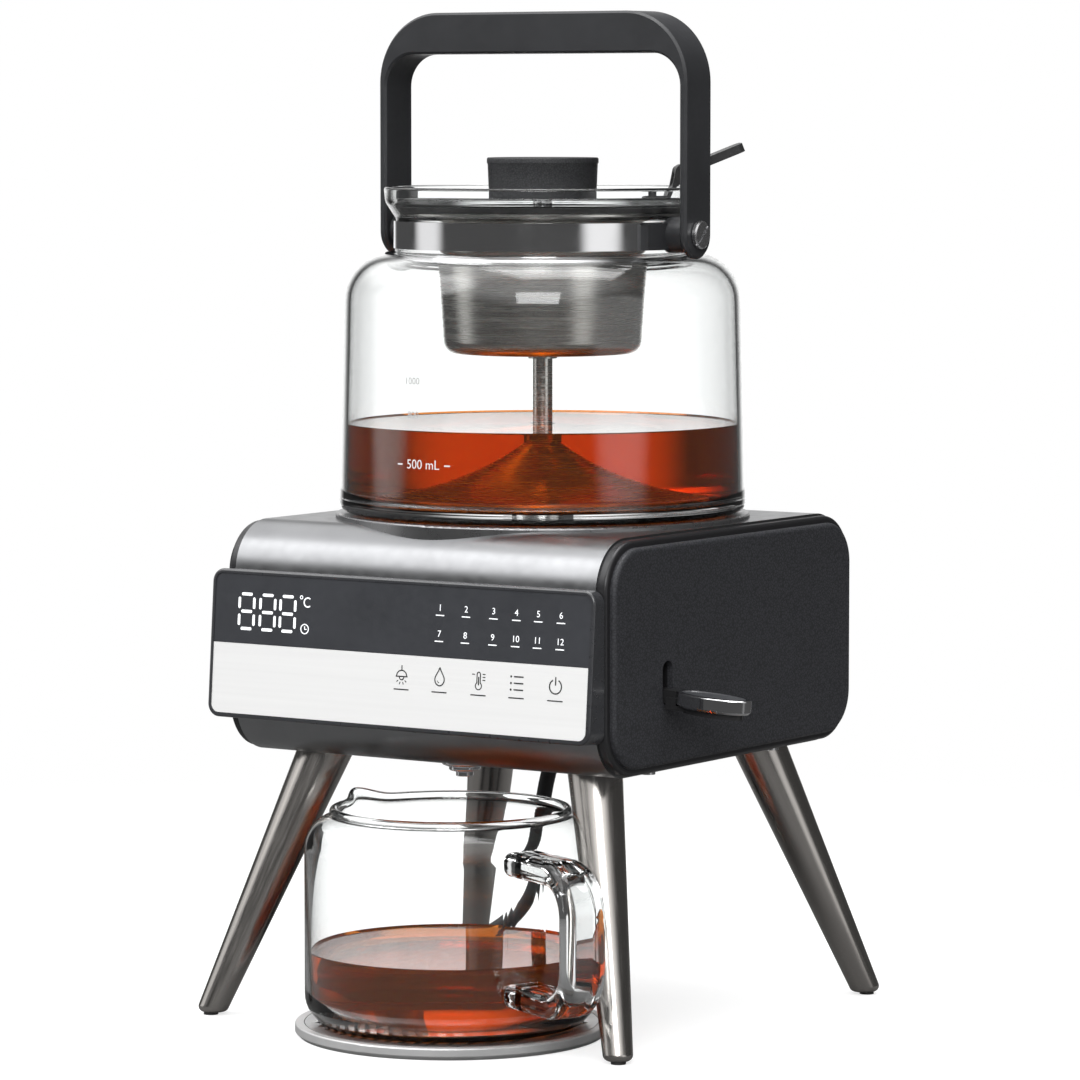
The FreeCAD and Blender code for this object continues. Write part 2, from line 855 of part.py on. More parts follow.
def make_lamp_lens():
    return revolved([
        (0, ground_clearance - 0.6, 0),
        (lamp_radius, ground_clearance - 0.6, 0.5),
        (lamp_radius, cover_top, 0),
        (lamp_radius + lamp_flange, cover_top, 0),
        (lamp_radius + lamp_flange, cover_top + 1.4, 0),
        (0, cover_top + 1.4, 0),
    ], V(lamp_x, lamp_y, 0))


def place_lever(shape):
    """Tilts a lever piece drawn about its pivot and moves it to the pivot."""
    leaned = turned_about(shape, V(0, 0, 0), BACK, lever_tilt)
    return moved(leaned, V(lever_pivot_x, lever_y, lever_pivot_z))


def oval(length, width, z0, z1):
    """An upright oval prism about the middle of the lever's grip."""
    centre = V(lever_outer_length - lever_grip_length / 2, 0, z0)
    ellipse = Part.Ellipse(centre, length / 2, width / 2)
    return Part.Face(Part.Wire(ellipse.toShape())).extrude(V(0, 0, z1 - z0))


def make_lever_arm():
    half = lever_grip_thickness / 2
    reach = fork_reach()
    inner_end = reach - 7
    hub = rod(lever_hub_radius, V(0, -lever_hub_width / 2, 0), BACK, lever_hub_width)
    stem_end = lever_outer_length - lever_grip_length + 5
    stem = box(
        0, stem_end, -lever_stem_width / 2, lever_stem_width / 2,
        -lever_stem_height / 2, lever_stem_height / 2,
    )
    bar = box(-inner_end, 0, -3.5, 3.5, -2, 2)
    prong_in = stem_radius + fork_gap
    prong_out = prong_in + fork_prong
    bridge = box(-inner_end - 2.5, -inner_end + 2, -prong_out, prong_out, -fork_thickness / 2, fork_thickness / 2)
    pieces = [hub, stem, bar, bridge]
    for side in (-1, 1):
        y0, y1 = sorted((side * prong_in, side * prong_out))
        pieces.append(box(-reach - 4.5, -inner_end, y0, y1, -fork_thickness / 2, fork_thickness / 2))
    under = oval(lever_grip_length - 6, lever_grip_width - 5, -half - 2.2, -half)
    neck = box(
        lever_outer_length - lever_grip_length - 3, lever_outer_length - lever_grip_length + 8,
        -3.4, 3.4, -half - 1.8, 0,
    )
    pieces += [under, neck]
    arm = joined(pieces)
    arm = arm.cut(oval(lever_grip_length + 0.1, lever_grip_width + 0.1, -half, half + 1))
    return place_lever(arm.cut(rod(lever_pin_radius + pin_clearance, V(0, -20, 0), BACK, 40)))


def make_lever_bezel():
    half = lever_grip_thickness / 2
    bezel = oval(lever_grip_length, lever_grip_width, -half, half)
    bezel = bezel.makeChamfer(0.9, edges_at(bezel, lambda p: p.z < 0))
    bezel = bezel.makeFillet(0.5, edges_at(bezel, lambda p: p.z > half - 1e-6))
    border = 2 * lever_grip_border
    return place_lever(bezel.cut(oval(
        lever_grip_length - border, lever_grip_width - border, half - lever_inlay_depth, half + 1)))


def make_lever_inlay():
    half = lever_grip_thickness / 2
    border = 2 * lever_grip_border + 0.1
    inlay = oval(lever_grip_length - border, lever_grip_width - border, half - lever_inlay_depth, half - 0.3)
    return place_lever(inlay)


def make_lever_bracket():
    half = lever_hub_width / 2 + 0.5
    y0 = lever_y - half - bracket_cheek
    y1 = lever_y + half + bracket_cheek
    x0 = lever_pivot_x - 9
    x1 = lever_pivot_x + 9
    foot = box(x0, x1, y0, y1, cover_top, cover_top + 2.5)
    pieces = [foot]
    for y in (y0, y1 - bracket_cheek):
        outline = [
            (V(x0, y, cover_top), 0),
            (V(x1, y, cover_top), 0),
            (V(lever_pivot_x + 5.2, y, lever_pivot_z + 5.2), 5),
            (V(lever_pivot_x - 5.2, y, lever_pivot_z + 5.2), 5),
        ]
        pieces.append(prism(outline, V(0, bracket_cheek, 0)))
    bracket = joined(pieces)
    return bracket.cut(rod(lever_pin_radius, V(lever_pivot_x, y0 - 1, lever_pivot_z), BACK, 60))


def make_lever_pin():
    half = lever_hub_width / 2 + 0.5 + bracket_cheek
    return rod(lever_pin_radius, V(lever_pivot_x, lever_y - half, lever_pivot_z), BACK, 2 * half)


def kettle_vessel():
    """The whole kettle glass, bottom to rim."""
    k = kettle_floor
    w = glass_wall
    return revolved([
        (valve_hole_radius + 0.2, k, 0),
        (base_radius, k, base_rounding),
        (shoulder_radius, neck_z, shoulder_rounding),
        (neck_radius, neck_z, 2.0),
        (neck_radius, mouth_z, 2.5),
        (mouth_radius - 0.5, flare_top, 6.0),
        (mouth_radius, kettle_rim_z, 1.2),
        (mouth_inner, kettle_rim_z, 1.0),
        (mouth_inner, flare_top, 2.0),
        (neck_inner, flare_foot, 1.0),
        (neck_inner, neck_z - w, 4.0),
        (shoulder_radius - w, neck_z - w, shoulder_rounding - w),
        (base_radius - w, k + glass_bottom, base_rounding + 1),
        (valve_hole_radius + 0.2, k + glass_bottom, 0),
    ])


def make_kettle_glass():
    return kettle_vessel().common(level_slice(0, glass_join_z))


def make_kettle_mouth():
    """Shoulder, neck and mouth, flush with the lower glass."""
    return kettle_vessel().common(level_slice(glass_join_z, kettle_rim_z + 1))


def make_neck_band():
    low = neck_z + 1.4
    inner = neck_radius + 0.1
    return tube(inner + band_thickness, inner, V(0, 0, low), UP, mouth_z - 0.6 - low)


def make_bail_lug(side):
    inner = neck_radius + 0.1 + band_thickness
    low = neck_z + 1.7
    high = mouth_z - 0.9
    pad = tube(inner + lug_pad_thickness, inner, V(0, 0, low), UP, high - low)
    x0, x1 = sorted((side * 30, side * 90))
    pad = pad.common(box(x0, x1, -lug_half_width, lug_half_width, low, high))
    boss_end = bail_half_width - bail_arm_thickness - running_gap
    start = V(side * (inner + 0.6), 0, bail_pivot_z)
    boss = rod(lug_boss_radius, start, ACROSS * side, boss_end - inner - 0.6)
    boss = boss.cut(rod(inner + 0.3, V(0, 0, low - 20), UP, 60))
    lug = joined([pad, boss])
    mouth_clear = revolved([
        (0, mouth_z - 1.5, 0), (neck_radius + 1.4, mouth_z - 1.5, 0),
        (mouth_radius + 0.5, flare_top, 0), (mouth_radius + 0.5, kettle_rim_z, 0), (0, kettle_rim_z, 0),
    ])
    lug = lug.cut(mouth_clear)
    reach = pivot_screw_depth - bail_arm_thickness
    hole = rod(pivot_screw_radius, V(side * (boss_end - reach), 0, bail_pivot_z), ACROSS * side, reach + 1)
    return lug.cut(hole)


def make_pivot_screws():
    screws = []
    for side in (-1, 1):
        face = side * (bail_half_width + running_gap)
        shank_length = pivot_screw_depth + 2 * running_gap
        shank = rod(pivot_screw_radius, V(face, 0, bail_pivot_z), ACROSS * -side, shank_length - 1)
        head = rod(pivot_head_radius, V(face, 0, bail_pivot_z), ACROSS * side, pivot_head_height)
        rim = edges_at(head, lambda p: abs(p.x) > abs(face) + pivot_head_height / 2)
        head = head.makeChamfer(0.5, rim)
        slot_x = sorted((face + side * (pivot_head_height - 0.9), face + side * 3))
        slot = box(slot_x[0], slot_x[1], -6, 6, bail_pivot_z - 0.5, bail_pivot_z + 0.5)
        slot = turned_about(slot, V(0, 0, bail_pivot_z), ACROSS, 45)
        screws.append(joined([shank, head]).cut(slot))
    return Part.makeCompound(screws)


def make_bail_handle():
    """A flat bow: thin arms that thicken through the corners into the grip."""
    half = bail_half_width
    inner = half - bail_arm_thickness
    y = -bail_depth / 2
    arm_end = bail_pivot_z
    outer_top = bail_top_z
    inner_top = bail_top_z - bail_grip_height
    outline = [
        (V(-half, y, arm_end), 0),
        (V(-half, y, outer_top), bail_outer_rounding),
        (V(half, y, outer_top), bail_outer_rounding),
        (V(half, y, arm_end), 0),
        (V(inner, y, arm_end), 0),
        (V(inner, y, inner_top), bail_inner_rounding),
        (V(-inner, y, inner_top), bail_inner_rounding),
        (V(-inner, y, arm_end), 0),
    ]
    pieces = [prism(outline, V(0, bail_depth, 0))]
    for side in (-1, 1):
        pieces.append(rod(bail_depth / 2, V(side * inner, 0, bail_pivot_z), ACROSS * side, bail_arm_thickness))
    bail = joined(pieces)
    front_back = edges_at(bail, lambda p: abs(abs(p.y) - bail_depth / 2) < 1e-6 and p.z > bail_pivot_z - 1e-6)
    bail = bail.makeChamfer(bail_edge, front_back)
    bore = rod(pivot_screw_radius + pin_clearance, V(-beyond, 0, bail_pivot_z), ACROSS, 2 * beyond)
    return bail.cut(bore)


def make_kettle_valve():
    top = glass_floor_top + valve_flange_height
    bottom = kettle_floor - valve_below
    body = rod(valve_hole_radius, V(0, 0, bottom), UP, top - bottom)
    flange = rod(valve_flange_radius, V(0, 0, glass_floor_top), UP, valve_flange_height)
    flange = flange.makeFillet(0.6, edges_at(flange, lambda p: abs(p.z - top) < 1e-6))
    body = joined([body, flange])
    body = body.cut(rod(poppet_stem_radius + glide_clearance, V(0, 0, bottom - 1), UP, 40))
    for i in range(5):
        angle = math.radians(72 * i)
        place = V(valve_drain_circle * math.cos(angle), valve_drain_circle * math.sin(angle), bottom - 1)
        body = body.cut(rod(valve_drain_radius, place, UP, 40))
    return body


def make_valve_nut():
    low = kettle_floor - 0.5 - nut_height
    points = [
        V(nut_radius * math.cos(math.radians(60 * i)), nut_radius * math.sin(math.radians(60 * i)), low)
        for i in range(6)
    ]
    nut = prism([(point, 0) for point in points], V(0, 0, nut_height + 0.5))
    return nut.cut(rod(valve_hole_radius, V(0, 0, low - 1), UP, 10))


def make_valve_poppet():
    foot = poppet_foot()
    head = rod(poppet_head_radius, V(0, 0, poppet_z), UP, poppet_head_height)
    head = head.makeFillet(0.7, edges_at(head, lambda p: p.z > poppet_z + 1))
    return joined([head, rod(poppet_stem_radius, V(0, 0, foot), UP, poppet_z - foot + 1)])


def make_infuser_basket():
    z = flange_z
    t = infuser_flange_thickness
    flange_out = flare_radius(flange_z) - running_gap
    w = basket_wall
    floor = basket_floor_z
    basket = revolved([
        (riser_radius + 0.05, floor, 0),
        (basket_bottom_radius, floor, basket_rounding),
        (basket_top_radius, z, 0),
        (flange_out, z, 0),
        (flange_out, z + t, 0),
        (basket_top_radius - w, z + t, 1.0),
        (basket_bottom_radius - w, floor + w, basket_rounding - w),
        (riser_radius + 0.05, floor + w, 0),
    ])
    for ring_radius, count in zip(basket_hole_circles, basket_hole_counts):
        for i in range(count):
            angle = 2 * math.pi * i / count
            place = V(ring_radius * math.cos(angle), ring_radius * math.sin(angle), floor - 1)
            basket = basket.cut(rod(basket_hole_radius, place, UP, 4))
    return basket


def make_riser_tube():
    low = glass_floor_top + collar_low - 4
    top = basket_floor_z + riser_above_basket_floor
    pipe = rod(riser_radius, V(0, 0, low), UP, top - low)
    collar = rod(collar_radius, V(0, 0, cone_z + cone_height), UP, collar_height)
    collar = collar.makeFillet(0.6, collar.Edges[0:1] + collar.Edges[2:3])
    stop = rod(collar_radius, V(0, 0, basket_floor_z - 2.0), UP, 2.0)
    cap = revolved([
        (0, top - 1, 0), (riser_radius, top - 1, 0), (spray_radius, top - 1, 0.5),
        (spray_radius - 2, top - 1 + spray_height, 2.0), (0, top - 1 + spray_height, 0),
    ])
    pipe = joined([pipe, collar, stop, cap])
    pipe = pipe.cut(rod(riser_bore, V(0, 0, low - 1), UP, top - low - 1))
    for i in range(6):
        angle = 60 * i
        hole = rod(1.1, V(0, 0, top - 4), ACROSS, 20)
        pipe = pipe.cut(turned_about(hole, V(0, 0, 0), UP, angle))
    return pipe


def make_steam_cone():
    """A thin bell that gathers the steam under the riser tube."""
    w = cone_wall
    throat = riser_radius + 0.05
    top = cone_z + cone_height
    outer = Part.Arc(V(cone_radius, 0, cone_z + 1.5), V(cone_radius * 0.46, 0, cone_z + cone_height * 0.47), V(throat + 1.6, 0, top))
    inner = Part.Arc(V(throat, 0, top - w), V(cone_radius * 0.46 - 0.6, 0, cone_z + cone_height * 0.47 - w), V(cone_radius - w, 0, cone_z + 1.2))
    edges = [
        Part.LineSegment(V(cone_radius, 0, cone_z), V(cone_radius, 0, cone_z + 1.5)).toShape(),
        outer.toShape(),
        Part.LineSegment(V(throat + 1.6, 0, top), V(throat, 0, top)).toShape(),
        Part.LineSegment(V(throat, 0, top), V(throat, 0, top - w)).toShape(),
        inner.toShape(),
        Part.LineSegment(V(cone_radius - w, 0, cone_z + 1.2), V(cone_radius - w, 0, cone_z)).toShape(),
        Part.LineSegment(V(cone_radius - w, 0, cone_z), V(cone_radius, 0, cone_z)).toShape(),
    ]
    cone = Part.Face(Part.Wire(edges)).revolve(V(0, 0, 0), UP, 360)
    return cone


def make_lid_glass():
    lid = rod(lid_radius, V(0, 0, lid_z), UP, lid_thickness)
    lid = lid.makeFillet(lid_edge_radius, [edge for edge in lid.Edges if edge.Closed and len(edge.Vertexes) == 1])
    return lid.cut(rod(knob_screw_radius + running_gap, V(0, 0, lid_z - 1), UP, lid_thickness + 2))


def make_lid_seal():
    low_out = flare_radius(seal_z) - running_gap - 0.2
    high_out = flare_radius(lid_z) - running_gap - 0.2
    return revolved([
        (seal_inner_radius, seal_z, 0), (low_out, seal_z, 0.5),
        (high_out, lid_z, 0), (seal_inner_radius, lid_z, 0),
    ])


def make_lid_knob():
    top = lid_top_z + knob_height
    knob = revolved([
        (0, lid_top_z, 0),
        (knob_foot_radius, lid_top_z, 0.6),
        (knob_radius - 0.3, top - knob_lip - 0.5, 0),
        (knob_radius, top - knob_lip, 0),
        (knob_radius, top, 0.7),
        (knob_radius - 2.5, top, 0.5),
        (knob_radius - 4.5, top - knob_dish, 1.0),
        (0, top - knob_dish, 0),
    ])
    return knob.cut(rod(knob_screw_radius, V(0, 0, lid_top_z - 1), UP, knob_screw_length - lid_thickness - 1))


def make_knob_screw():
    head = rod(knob_screw_head, V(0, 0, lid_z - knob_screw_head_height), UP, knob_screw_head_height)
    shank = rod(knob_screw_radius, V(0, 0, lid_z - 1), UP, knob_screw_length - 2)
    slot = box(-7, 7, -0.5, 0.5, lid_z - knob_screw_head_height - 1, lid_z - knob_screw_head_height + 0.8)
    return joined([head, shank]).cut(slot)


def place_thumb(shape):
    """Turns a piece drawn along +X to the thumb lever's place on the lid."""
    return turned_about(shape, V(0, 0, 0), UP, thumb_azimuth)


def make_thumb_bracket():
    """A bent strap with two ears that carry the hinge pin."""
    foot0 = thumb_foot_radius - 7
    hinge = V(thumb_hinge_radius, 0, lid_top_z + thumb_hinge_rise)
    t = strap_thickness
    half = strap_width / 2
    outline = [
        (V(foot0, -half, lid_top_z), 0),
        (V(thumb_foot_radius + 2, -half, lid_top_z), 0),
        (V(hinge.x - 1.0, -half, hinge.z - 4.4), 0),
        (V(hinge.x - 1.0 - t, -half, hinge.z - 3.8), 0),
        (V(thumb_foot_radius + 1.4, -half, lid_top_z + t), 0),
        (V(foot0, -half, lid_top_z + t), 0),
    ]
    strap = prism(outline, V(0, strap_width, 0))
    pieces = [strap]
    for side in (-1, 1):
        y0, y1 = sorted((side * (half - 1.2), side * half))
        ear = [
            (V(thumb_foot_radius + 3.2, y0, lid_top_z + 2.4), 0),
            (V(hinge.x + 1.2, y0, hinge.z - 3.6), 0),
            (V(hinge.x + 2.4, y0, hinge.z + 2.2), 2.0),
            (V(hinge.x - 2.6, y0, hinge.z + 2.2), 2.0),
        ]
        pieces.append(prism(ear, V(0, y1 - y0, 0)))
    pieces.append(rod(thumb_pin_radius, V(hinge.x, -half + 0.1, hinge.z), BACK, strap_width - 0.2))
    rivet = rod(1.6, V(foot0 + 3.4, 0, lid_top_z + t * 0.5), UP, t)
    pieces.append(rivet)
    return place_thumb(joined(pieces))


def make_thumb_lever():
    hinge = V(thumb_hinge_radius, 0, lid_top_z + thumb_hinge_rise)
    tip = V(thumb_tip_radius, 0, lid_top_z + thumb_tip_rise)
    hub_width = strap_width - 2 * 1.2 - 0.6
    hub = rod(thumb_hub_radius, V(hinge.x, -hub_width / 2, hinge.z), BACK, hub_width)
    along = (tip - hinge).normalize()
    normal = V(-along.z, 0, along.x)
    base = hinge + along * 3.6 + V(0, -thumb_width / 2, 0) - normal * (thumb_thickness / 2)
    end = tip + V(0, -thumb_width / 2, 0) - normal * (thumb_thickness / 2)
    outline = [
        (base, 0.8),
        (end, 3.4),
        (end + V(0, thumb_width, 0), 3.4),
        (base + V(0, thumb_width, 0), 0.8),
    ]
    paddle = prism(outline, normal * thumb_thickness)
    root = [
        (hinge - normal * 1.5 + V(0, -hub_width / 2, 0), 0),
        (hinge - normal * 1.5 + along * 6 + V(0, -hub_width / 2, 0), 0),
        (hinge - normal * 1.5 + along * 6 + V(0, hub_width / 2, 0), 0),
        (hinge - normal * 1.5 + V(0, hub_width / 2, 0), 0),
    ]
    pieces = [hub, paddle, prism(root, normal * 3.0)]
    lever = joined(pieces)
    pin = rod(thumb_pin_radius + pin_clearance, V(hinge.x, -20, hinge.z), BACK, 40)
    return place_thumb(lever.cut(pin))


def make_tray_dish():
    inner = tray_radius - tray_rim
    ledge = tray_height - tray_plate_thickness
    return revolved([
        (0, 0, 0), (tray_radius - 1.5, 0, 0), (tray_radius, 1.5, 0.5),
        (tray_radius, tray_height, 0.6), (inner, tray_height, 0),
        (inner, ledge, 0), (inner - tray_plate_ledge, ledge, 0),
        (inner - tray_plate_ledge, tray_floor, 0), (0, tray_floor, 0),
    ], jug_centre)


def make_tray_plate():
    radius = tray_radius - tray_rim - running_gap
    low = tray_height - tray_plate_thickness
    plate = rod(radius, jug_centre + UP * low, UP, tray_plate_thickness)
    count = int((radius - tray_slot_border) // tray_slot_pitch)
    for i in range(-count, count + 1):
        x = i * tray_slot_pitch
        half = math.sqrt((radius - tray_slot_border) ** 2 - x * x)
        if half < tray_slot_pitch:
            continue
        slot = box(
            tray_x + x - tray_slot_width / 2, tray_x + x + tray_slot_width / 2,
            tray_y - half, tray_y + half, low - 1, tray_height + 1,
        )
        plate = plate.cut(slot)
    return plate


def jug_profile(inset, floor):
    """Half outline of the jug's outside, or of its hollow when inset."""
    rim = jug_rim_z
    return [
        (0, jug_floor_z + floor, 0),
        (jug_base_radius - inset, jug_floor_z + floor, 2.5),
        (jug_radius - inset, jug_floor_z + floor + 6.0, jug_base_rounding - inset),
        (jug_radius - inset, rim - 4.0, jug_shoulder_rounding - inset),
        (jug_rim_radius - inset, rim - 2.2, 1.2),
        (jug_rim_radius - inset, rim, 0),
        (0, rim, 0),
    ]


def make_jug_glass():
    body = revolved(jug_profile(0, 0), jug_centre)
    hollow = revolved(jug_profile(jug_wall, jug_floor), jug_centre)
    bead = Part.makeTorus(jug_rim_radius - jug_wall / 2, jug_rim_bead, jug_centre + UP * (jug_rim_z - jug_rim_bead * 0.5), UP)
    outward = V(math.cos(math.radians(spout_azimuth)), math.sin(math.radians(spout_azimuth)), 0)
    low = jug_centre + outward * (jug_rim_radius - spout_radius + 0.5) + UP * (jug_rim_z - 13)
    high = jug_centre + outward * (jug_rim_radius - spout_radius + spout_reach) + UP * (jug_rim_z + spout_rise)
    lips = []
    for wall in (0, jug_wall * 0.9):
        rings = [
            Part.Wire(Part.makeCircle(spout_radius * 1.1 - wall, low - UP * (0.01 if wall else 0), UP)),
            Part.Wire(Part.makeCircle(spout_radius - wall, high + UP * (0.01 if wall else 0), UP)),
        ]
        lips.append(Part.makeLoft(rings, True, True))
    neck = rod(jug_rim_radius - jug_wall - 1.0, jug_centre + UP * (jug_rim_z - 3), UP, 20)
    glass = joined([body, bead, lips[0]])
    glass = glass.cut(hollow).cut(lips[1]).cut(neck)
    return glass


def make_jug_handle():
    """A bent glass strap whose ends are cut to the jug's side."""
    low = jug_floor_z + jug_handle_low
    high = jug_floor_z + jug_handle_high
    inner = jug_radius - 8
    path = rounded_path([
        (V(inner, 0, high), 0),
        (V(jug_handle_reach, 0, high), jug_handle_bend),
        (V(jug_handle_reach, 0, low), jug_handle_bend),
        (V(inner, 0, low), 0),
    ], False)
    half_w = jug_handle_width / 2
    half_t = jug_handle_thickness / 2
    section = rounded_path([
        (V(inner, -half_w, high - half_t), half_t * 0.8),
        (V(inner, half_w, high - half_t), half_t * 0.8),
        (V(inner, half_w, high + half_t), half_t * 0.8),
        (V(inner, -half_w, high + half_t), half_t * 0.8),
    ], True)
    strap = path.makePipeShell([section], True, False)
    strap = moved(turned_about(strap, V(0, 0, 0), UP, jug_handle_azimuth), jug_centre)
    return strap.cut(revolved(jug_profile(0, 0), jug_centre))


def make_cord_gland():
    """The tapered strain relief where the lead leaves the base cover."""
    axis = gland_lean.normalize()
    relief = Part.makeCone(gland_top_radius, cord_radius + 0.4, gland_length, gland_point - axis * 3, axis)
    relief = relief.common(level_slice(0, ground_clearance))
    neck = rod(gland_top_radius - 1.5, gland_point + axis * 2, axis * -1, 10)
    slab = level_slice(ground_clearance - 1, cover_top + 3)
    collar = rod(gland_top_radius + 0.8, gland_point + UP * (cover_top - ground_clearance), UP, 3)
    gland = joined([relief, neck.common(slab), collar])
    return gland


def heading(turn):
    """Unit vector at an angle in degrees from the coil's own first axis."""
    angle = math.radians(coil_heading + turn)
    return V(math.cos(angle), math.sin(angle), 0)


def coil_point(turns):
    """Place and direction on the coil, counted in turns from where the lead arrives."""
    span = coil_turns / 2
    away = abs(turns - span)
    radius = coil_outer_radius - coil_pitch * span + coil_pitch * away
    climb = min(max((turns - span) / 0.5 + 0.5, 0), 1)
    drop = (1 - math.cos(math.pi * climb)) / 2
    z = floor_line + coil_lift * (1 - drop)
    outward = heading(90 + 360 * turns)
    onward = heading(180 + 360 * turns)
    return coil_centre + outward * radius + V(0, 0, z), outward, onward, radius


def coil_place(turns):
    point = coil_point(turns)[0]
    step = 1e-4
    before = coil_point(max(turns - step, 0))[0]
    after = coil_point(min(turns + step, coil_turns))[0]
    return point, (after - before).normalize()


def biarc(start, start_way, end, end_way):
    """Two tangent arcs between two points with given directions."""
    chord = end - start
    both = start_way + end_way
    b = chord.dot(both)
    c = chord.dot(chord)
    a = 2 * (start_way.dot(end_way) - 1)
    if abs(a) < 1e-9:
        reach = c / (2 * b)
    else:
        reach = (b - math.sqrt(b * b - a * c)) / a
    one = start + start_way * reach
    two = end - end_way * reach
    middle = (one + two) * 0.5
    return [arc_from(start, start_way, middle), arc_from(middle, (two - one).normalize(), end)]


def arc_from(start, way, end):
    """The arc that leaves start along way and ends at end."""
    chord = end - start
    side = chord - way * chord.dot(way)
    side = side.normalize()
    radius = chord.dot(chord) / (2 * chord.dot(side))
    centre = start + side * radius
    outward = ((start - centre) + (end - centre)).normalize()
    arc = Part.Arc(start, centre + outward * radius, end).toShape()
    return arc, radius


def coil_wire():
    quarters = int(round(coil_turns * 4))
    first, first_way = coil_place(0)
    last, last_way = coil_place(coil_turns)
    edges = [Part.LineSegment(first - first_way * cord_diameter, first).toShape()]
    radii = []
    for i in range(quarters):
        start, start_way = coil_place(i / 4)
        end, end_way = coil_place((i + 1) / 4)
        for arc, radius in biarc(start, start_way, end, end_way):
            edges.append(arc)
            radii.append(radius)
    edges.append(Part.LineSegment(last, last + last_way * coil_straight_end).toShape())
    print("coil radii %.1f to %.1f" % (min(radii), max(radii)))
    return Part.Wire(edges), first - first_way * cord_diameter, first_way, last + last_way * coil_straight_end, last_way


def print_coil_gap():
    """Least gap of the coil to itself, from points more than half a turn apart."""
    steps = 72
    points = [coil_point(i / steps)[0] for i in range(int(coil_turns * steps) + 1)]
    least = min(
        points[i].distanceToPoint(points[j])
        for i in range(len(points))
        for j in range(i + steps // 2, len(points))
    )
    print("coil gap to itself %.2f" % (least - cord_diameter))


def make_cord_coil():
    wire, start, start_way, _, _ = coil_wire()
    circle = Part.Wire(Part.makeCircle(cord_radius, start, start_way))
    coil = wire.makePipeShell([circle], True, False)
    print("coil length %.1f, volume over section %.1f" % (wire.Length, coil.Volume / (math.pi * cord_radius ** 2)))
    print_coil_gap()
    return coil


def lead_points():
    """The free stretch from the gland down onto the coil."""
    axis = gland_lean.normalize()
    start = gland_point + axis * (gland_length - 3)
    _, arrive, arrive_way, _, _ = coil_wire()
    return [
        start,
        start + axis * 17,
        V(-40.0, 63.1, 46.3),
        V(-45.6, 64.6, 31.7),
        V(-53.9, 63.1, 21.0),
        V(-64.0, 58.9, 13.5),
        arrive - arrive_way * 12,
        arrive,
    ]


def make_cord_lead():
    points = lead_points()
    corners_list = [(points[0], 0)]
    radii = []
    for before, point, after in zip(points, points[1:], points[2:]):
        one = point - before
        two = after - point
        turn = one.getAngle(two)
        radius = 0.45 * min(one.Length, two.Length) / math.tan(turn / 2)
        radii.append(radius)
        corners_list.append((point, radius))
    corners_list.append((points[-1], 0))
    wire = rounded_path(corners_list, False)
    circle = Part.Wire(Part.makeCircle(cord_radius, points[0], points[1] - points[0]))
    lead = wire.makePipeShell([circle], True, False)
    print("lead radii", ["%.0f" % radius for radius in radii], "runs", ["%.0f" % (b - a).Length for a, b in zip(points, points[1:])])
    print("lead length %.1f, volume over section %.1f" % (wire.Length, lead.Volume / (math.pi * cord_radius ** 2)))
    return lead


def plug_frame():
    _, _, _, end, way = coil_wire()
    side = V(-way.y, way.x, 0)
    return end, V(way.x, way.y, 0).normalize(), side


def make_plug_body():
    end, way, side = plug_frame()
    middle_z = plug_body_height / 2 + floor_gap
    relief_end = V(end.x, end.y, middle_z) + way * plug_relief_length
    rings = [
        Part.Wire(Part.makeCircle(cord_radius, end, way)),
        Part.Wire(Part.makeCircle(cord_radius + 2.0, relief_end, way)),
    ]
    relief = Part.makeLoft(rings, True, True)
    half_w = plug_body_width / 2
    half_h = plug_body_height / 2
    start = relief_end - way * 0.5
    outline = [
        (start - side * half_w - UP * half_h, 5.5),
        (start + side * half_w - UP * half_h, 5.5),
        (start + side * half_w + UP * half_h, 5.5),
        (start - side * half_w + UP * half_h, 5.5),
    ]
    body = prism(outline, way * (plug_body_length + 0.5))
    plug = joined([body, relief])
    for sign in (-1, 1):
        place = relief_end + side * (sign * plug_pin_spacing / 2) + way * (plug_body_length - 6)
        plug = plug.cut(rod(plug_pin_radius, place, way, 20))
    return plug


def make_plug_pins():
    end, way, side = plug_frame()
    middle_z = plug_body_height / 2 + floor_gap
    relief_end = V(end.x, end.y, middle_z) + way * plug_relief_length
    pins = []
    for sign in (-1, 1):
        place = relief_end + side * (sign * plug_pin_spacing / 2) + way * (plug_body_length - 6)
        pin = rod(plug_pin_radius, place, way, 6 + plug_pin_length)
        pins.append(pin)
    return Part.makeCompound(pins)


